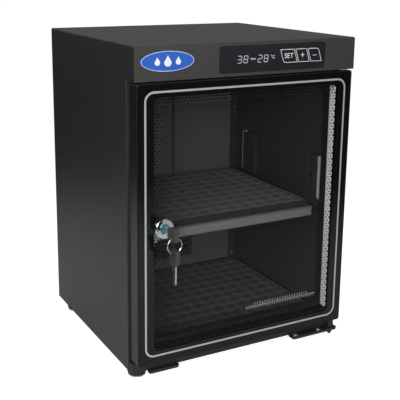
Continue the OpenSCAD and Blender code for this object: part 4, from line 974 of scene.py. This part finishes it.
class CABINET_OT_glass_rule(bpy.types.Operator):
    """Prints a plain rule with short ticks at the foot of the glass"""

    bl_idname = "cabinet.glass_rule"
    bl_label = "Rule on the glass"

    def execute(self, context):
        p = context.scene.cabinet_print
        width, stroke = p.rule_length, p.rule_stroke
        z = HEAD[1].z - p.rule_drop
        bm = bmesh.new()
        flat_face(bm, [(0, z), (width, z), (width, z + stroke), (0, z + stroke)])
        for first, last, pitch, low, high in RULE_TICKS:
            for i in range(int((last - first) * width / pitch)):
                x = first * width + i * pitch
                flat_face(bm, [(x, z + low), (x + stroke, z + low), (x + stroke, z + high), (x, z + high)])
        thicken(bm, GLASS[0].y - 0.8 * FILM, FILM)
        new_piece("glass_rule", bm, "rule_print", "door")
        return {"FINISHED"}


# Place and size of each lamp, in metres
LAMPS = {
    "key": ((-0.9, -0.85, 0.85), (0.7, 1.0)),
    "fill": ((0.8, -2.0, 0.75), (0.9, 0.9)),
    "front": ((-0.95, -1.75, 0.72), (0.6, 0.6)),
    "top": ((0.1, 0.3, 1.9), (1.4, 1.4)),
}
LAMP_TARGET = Vector((0, 0, 0.25))
FLOOR_HALF = 30  # metres from the middle to the floor's edge
HORIZON = {"From Min": -0.35, "From Max": 0.25}  # directions between which the room turns pale


class CABINET_OT_stage(bpy.types.Operator):
    """Sets up the lamps, the floor, the white room and the camera"""

    bl_idname = "cabinet.stage"
    bl_label = "Studio"

    def lamp(self, name, place, size, power):
        """A soft rectangular lamp that looks at the cabinet."""
        data = bpy.data.lights.new(name, "AREA")
        data.shape = "RECTANGLE"
        data.size, data.size_y = size
        data.energy = power
        lamp = bpy.data.objects.new(name, data)
        lamp.location = place
        lamp.rotation_mode = "QUATERNION"
        lamp.rotation_quaternion = (LAMP_TARGET - Vector(place)).to_track_quat("-Z", "Y")
        lamp.visible_camera = False
        bpy.context.scene.collection.objects.link(lamp)

    def floor(self, s):
        """A wide pale floor that keeps the cabinet's soft shadow."""
        bm = bmesh.new()
        bmesh.ops.create_grid(bm, x_segments=1, y_segments=1, size=FLOOR_HALF)
        bmesh.ops.translate(bm, vec=(0, 0, CAD_BOX[0].z), verts=list(bm.verts))
        f = Finish("floor_paper")
        path = f.node("ShaderNodeLightPath")
        seen = path.out("Is Camera Ray").math("MAXIMUM", path.out("Is Transmission Ray"))
        x, y, _ = f.axes()
        away = (x ** 2.0 + y ** 2.0).math("SQRT")
        far = f.node(
            "ShaderNodeMapRange", {"interpolation_type": "SMOOTHSTEP"},
            {"Value": away, "From Min": s.paper_near, "From Max": s.paper_far},
        )
        paper = f.surface({
            "Base Color": f.blend(far, opaque(s.floor_colour), opaque(s.far_colour)),
            "Roughness": 0.9,
            "Specular IOR Level": 0.0,
            "Emission Color": f.blend(far, opaque([s.floor_lift] * 3), (1, 1, 1, 1)),
            "Emission Strength": seen,
        })
        floor = mesh_object("floor", bm, paper)

    def room(self, s):
        """White behind the cabinet, darker behind the camera as gloss shows it, soft light on all sides."""
        f = Finish("studio", world=True)
        bpy.context.scene.world = f.data
        _, y, _ = f.axes()
        depth = f.node("ShaderNodeMapRange", None, {"Value": y, **HORIZON})
        path = f.node("ShaderNodeLightPath")
        sharp = path.out("Is Glossy Ray")
        direct = path.out("Is Camera Ray").math("MAXIMUM", path.out("Is Transmission Ray"))
        seen = sharp.math("MAXIMUM", direct)
        in_gloss = s.dark_front + (s.bright_rear - s.dark_front) * depth
        shown = 1.0 - sharp * (1.0 - in_gloss)
        strength = s.ambient * (1.0 - seen) + shown * seen
        light = f.node("ShaderNodeBackground", None, {"Color": (1, 1, 1, 1), "Strength": strength})
        f.node("ShaderNodeOutputWorld", None, {"Surface": light})

    def camera(self, s):
        """The camera at the photograph's angle."""
        data = bpy.data.cameras.new("camera")
        data.lens = s.lens
        data.shift_x, data.shift_y = s.shift_x, s.shift_y
        camera = bpy.data.objects.new("camera", data)
        level = math.cos(s.elevation)
        ahead = Vector((math.sin(s.azimuth) * level, math.cos(s.azimuth) * level, -math.sin(s.elevation)))
        right = Vector((math.cos(s.azimuth), -math.sin(s.azimuth), 0))
        up = right.cross(ahead)
        turned = right * math.cos(s.roll) + up * math.sin(s.roll)
        raised = up * math.cos(s.roll) - right * math.sin(s.roll)
        axes = Matrix((turned, raised, -ahead)).transposed()
        camera.matrix_world = Matrix.Translation(s.camera_place) @ axes.to_4x4()
        bpy.context.scene.collection.objects.link(camera)
        bpy.context.scene.camera = camera

    def execute(self, context):
        s = context.scene.cabinet_studio
        for name, (place, size) in LAMPS.items():
            self.lamp(name + "_lamp", place, size, getattr(s, name + "_power"))
        self.floor(s)
        self.room(s)
        self.camera(s)
        context.scene.view_settings.view_transform = "Standard"
        return {"FINISHED"}


OPERATORS = (
    CABINET_OT_stage, CABINET_OT_finishes, CABINET_OT_soft_edges, CABINET_OT_foam_mats,
    CABINET_OT_door_liner, CABINET_OT_display_digits, CABINET_OT_key_prints, CABINET_OT_badge_marks,
    CABINET_OT_glass_rule,
)


class CABINET_PT_panel(bpy.types.Panel):
    """Settings and steps of the cabinet"""

    bl_idname = "CABINET_PT_panel"
    bl_label = "Camera dry cabinet"
    bl_space_type = "VIEW_3D"
    bl_region_type = "UI"
    bl_category = "Cabinet"

    def draw(self, context):
        for operator in OPERATORS:
            self.layout.operator(operator.bl_idname)
        for name, group in GROUPS.items():
            box = self.layout.box()
            for key in group.__annotations__:
                box.prop(getattr(context.scene, name), key)


CLASSES = (*GROUPS.values(), *OPERATORS, CABINET_PT_panel)


def register():
    for cls in CLASSES:
        bpy.utils.register_class(cls)
    for name, group in GROUPS.items():
        setattr(bpy.types.Scene, name, bpy.props.PointerProperty(type=group))


def unregister():
    for name in GROUPS:
        delattr(bpy.types.Scene, name)
    for cls in reversed(CLASSES):
        bpy.utils.unregister_class(cls)


def main():
    """Dresses the frame."""
    register()
    for operator in OPERATORS:
        group, name = operator.bl_idname.split(".")
        getattr(getattr(bpy.ops, group), name)()


if __name__ == "__main__":
    main()
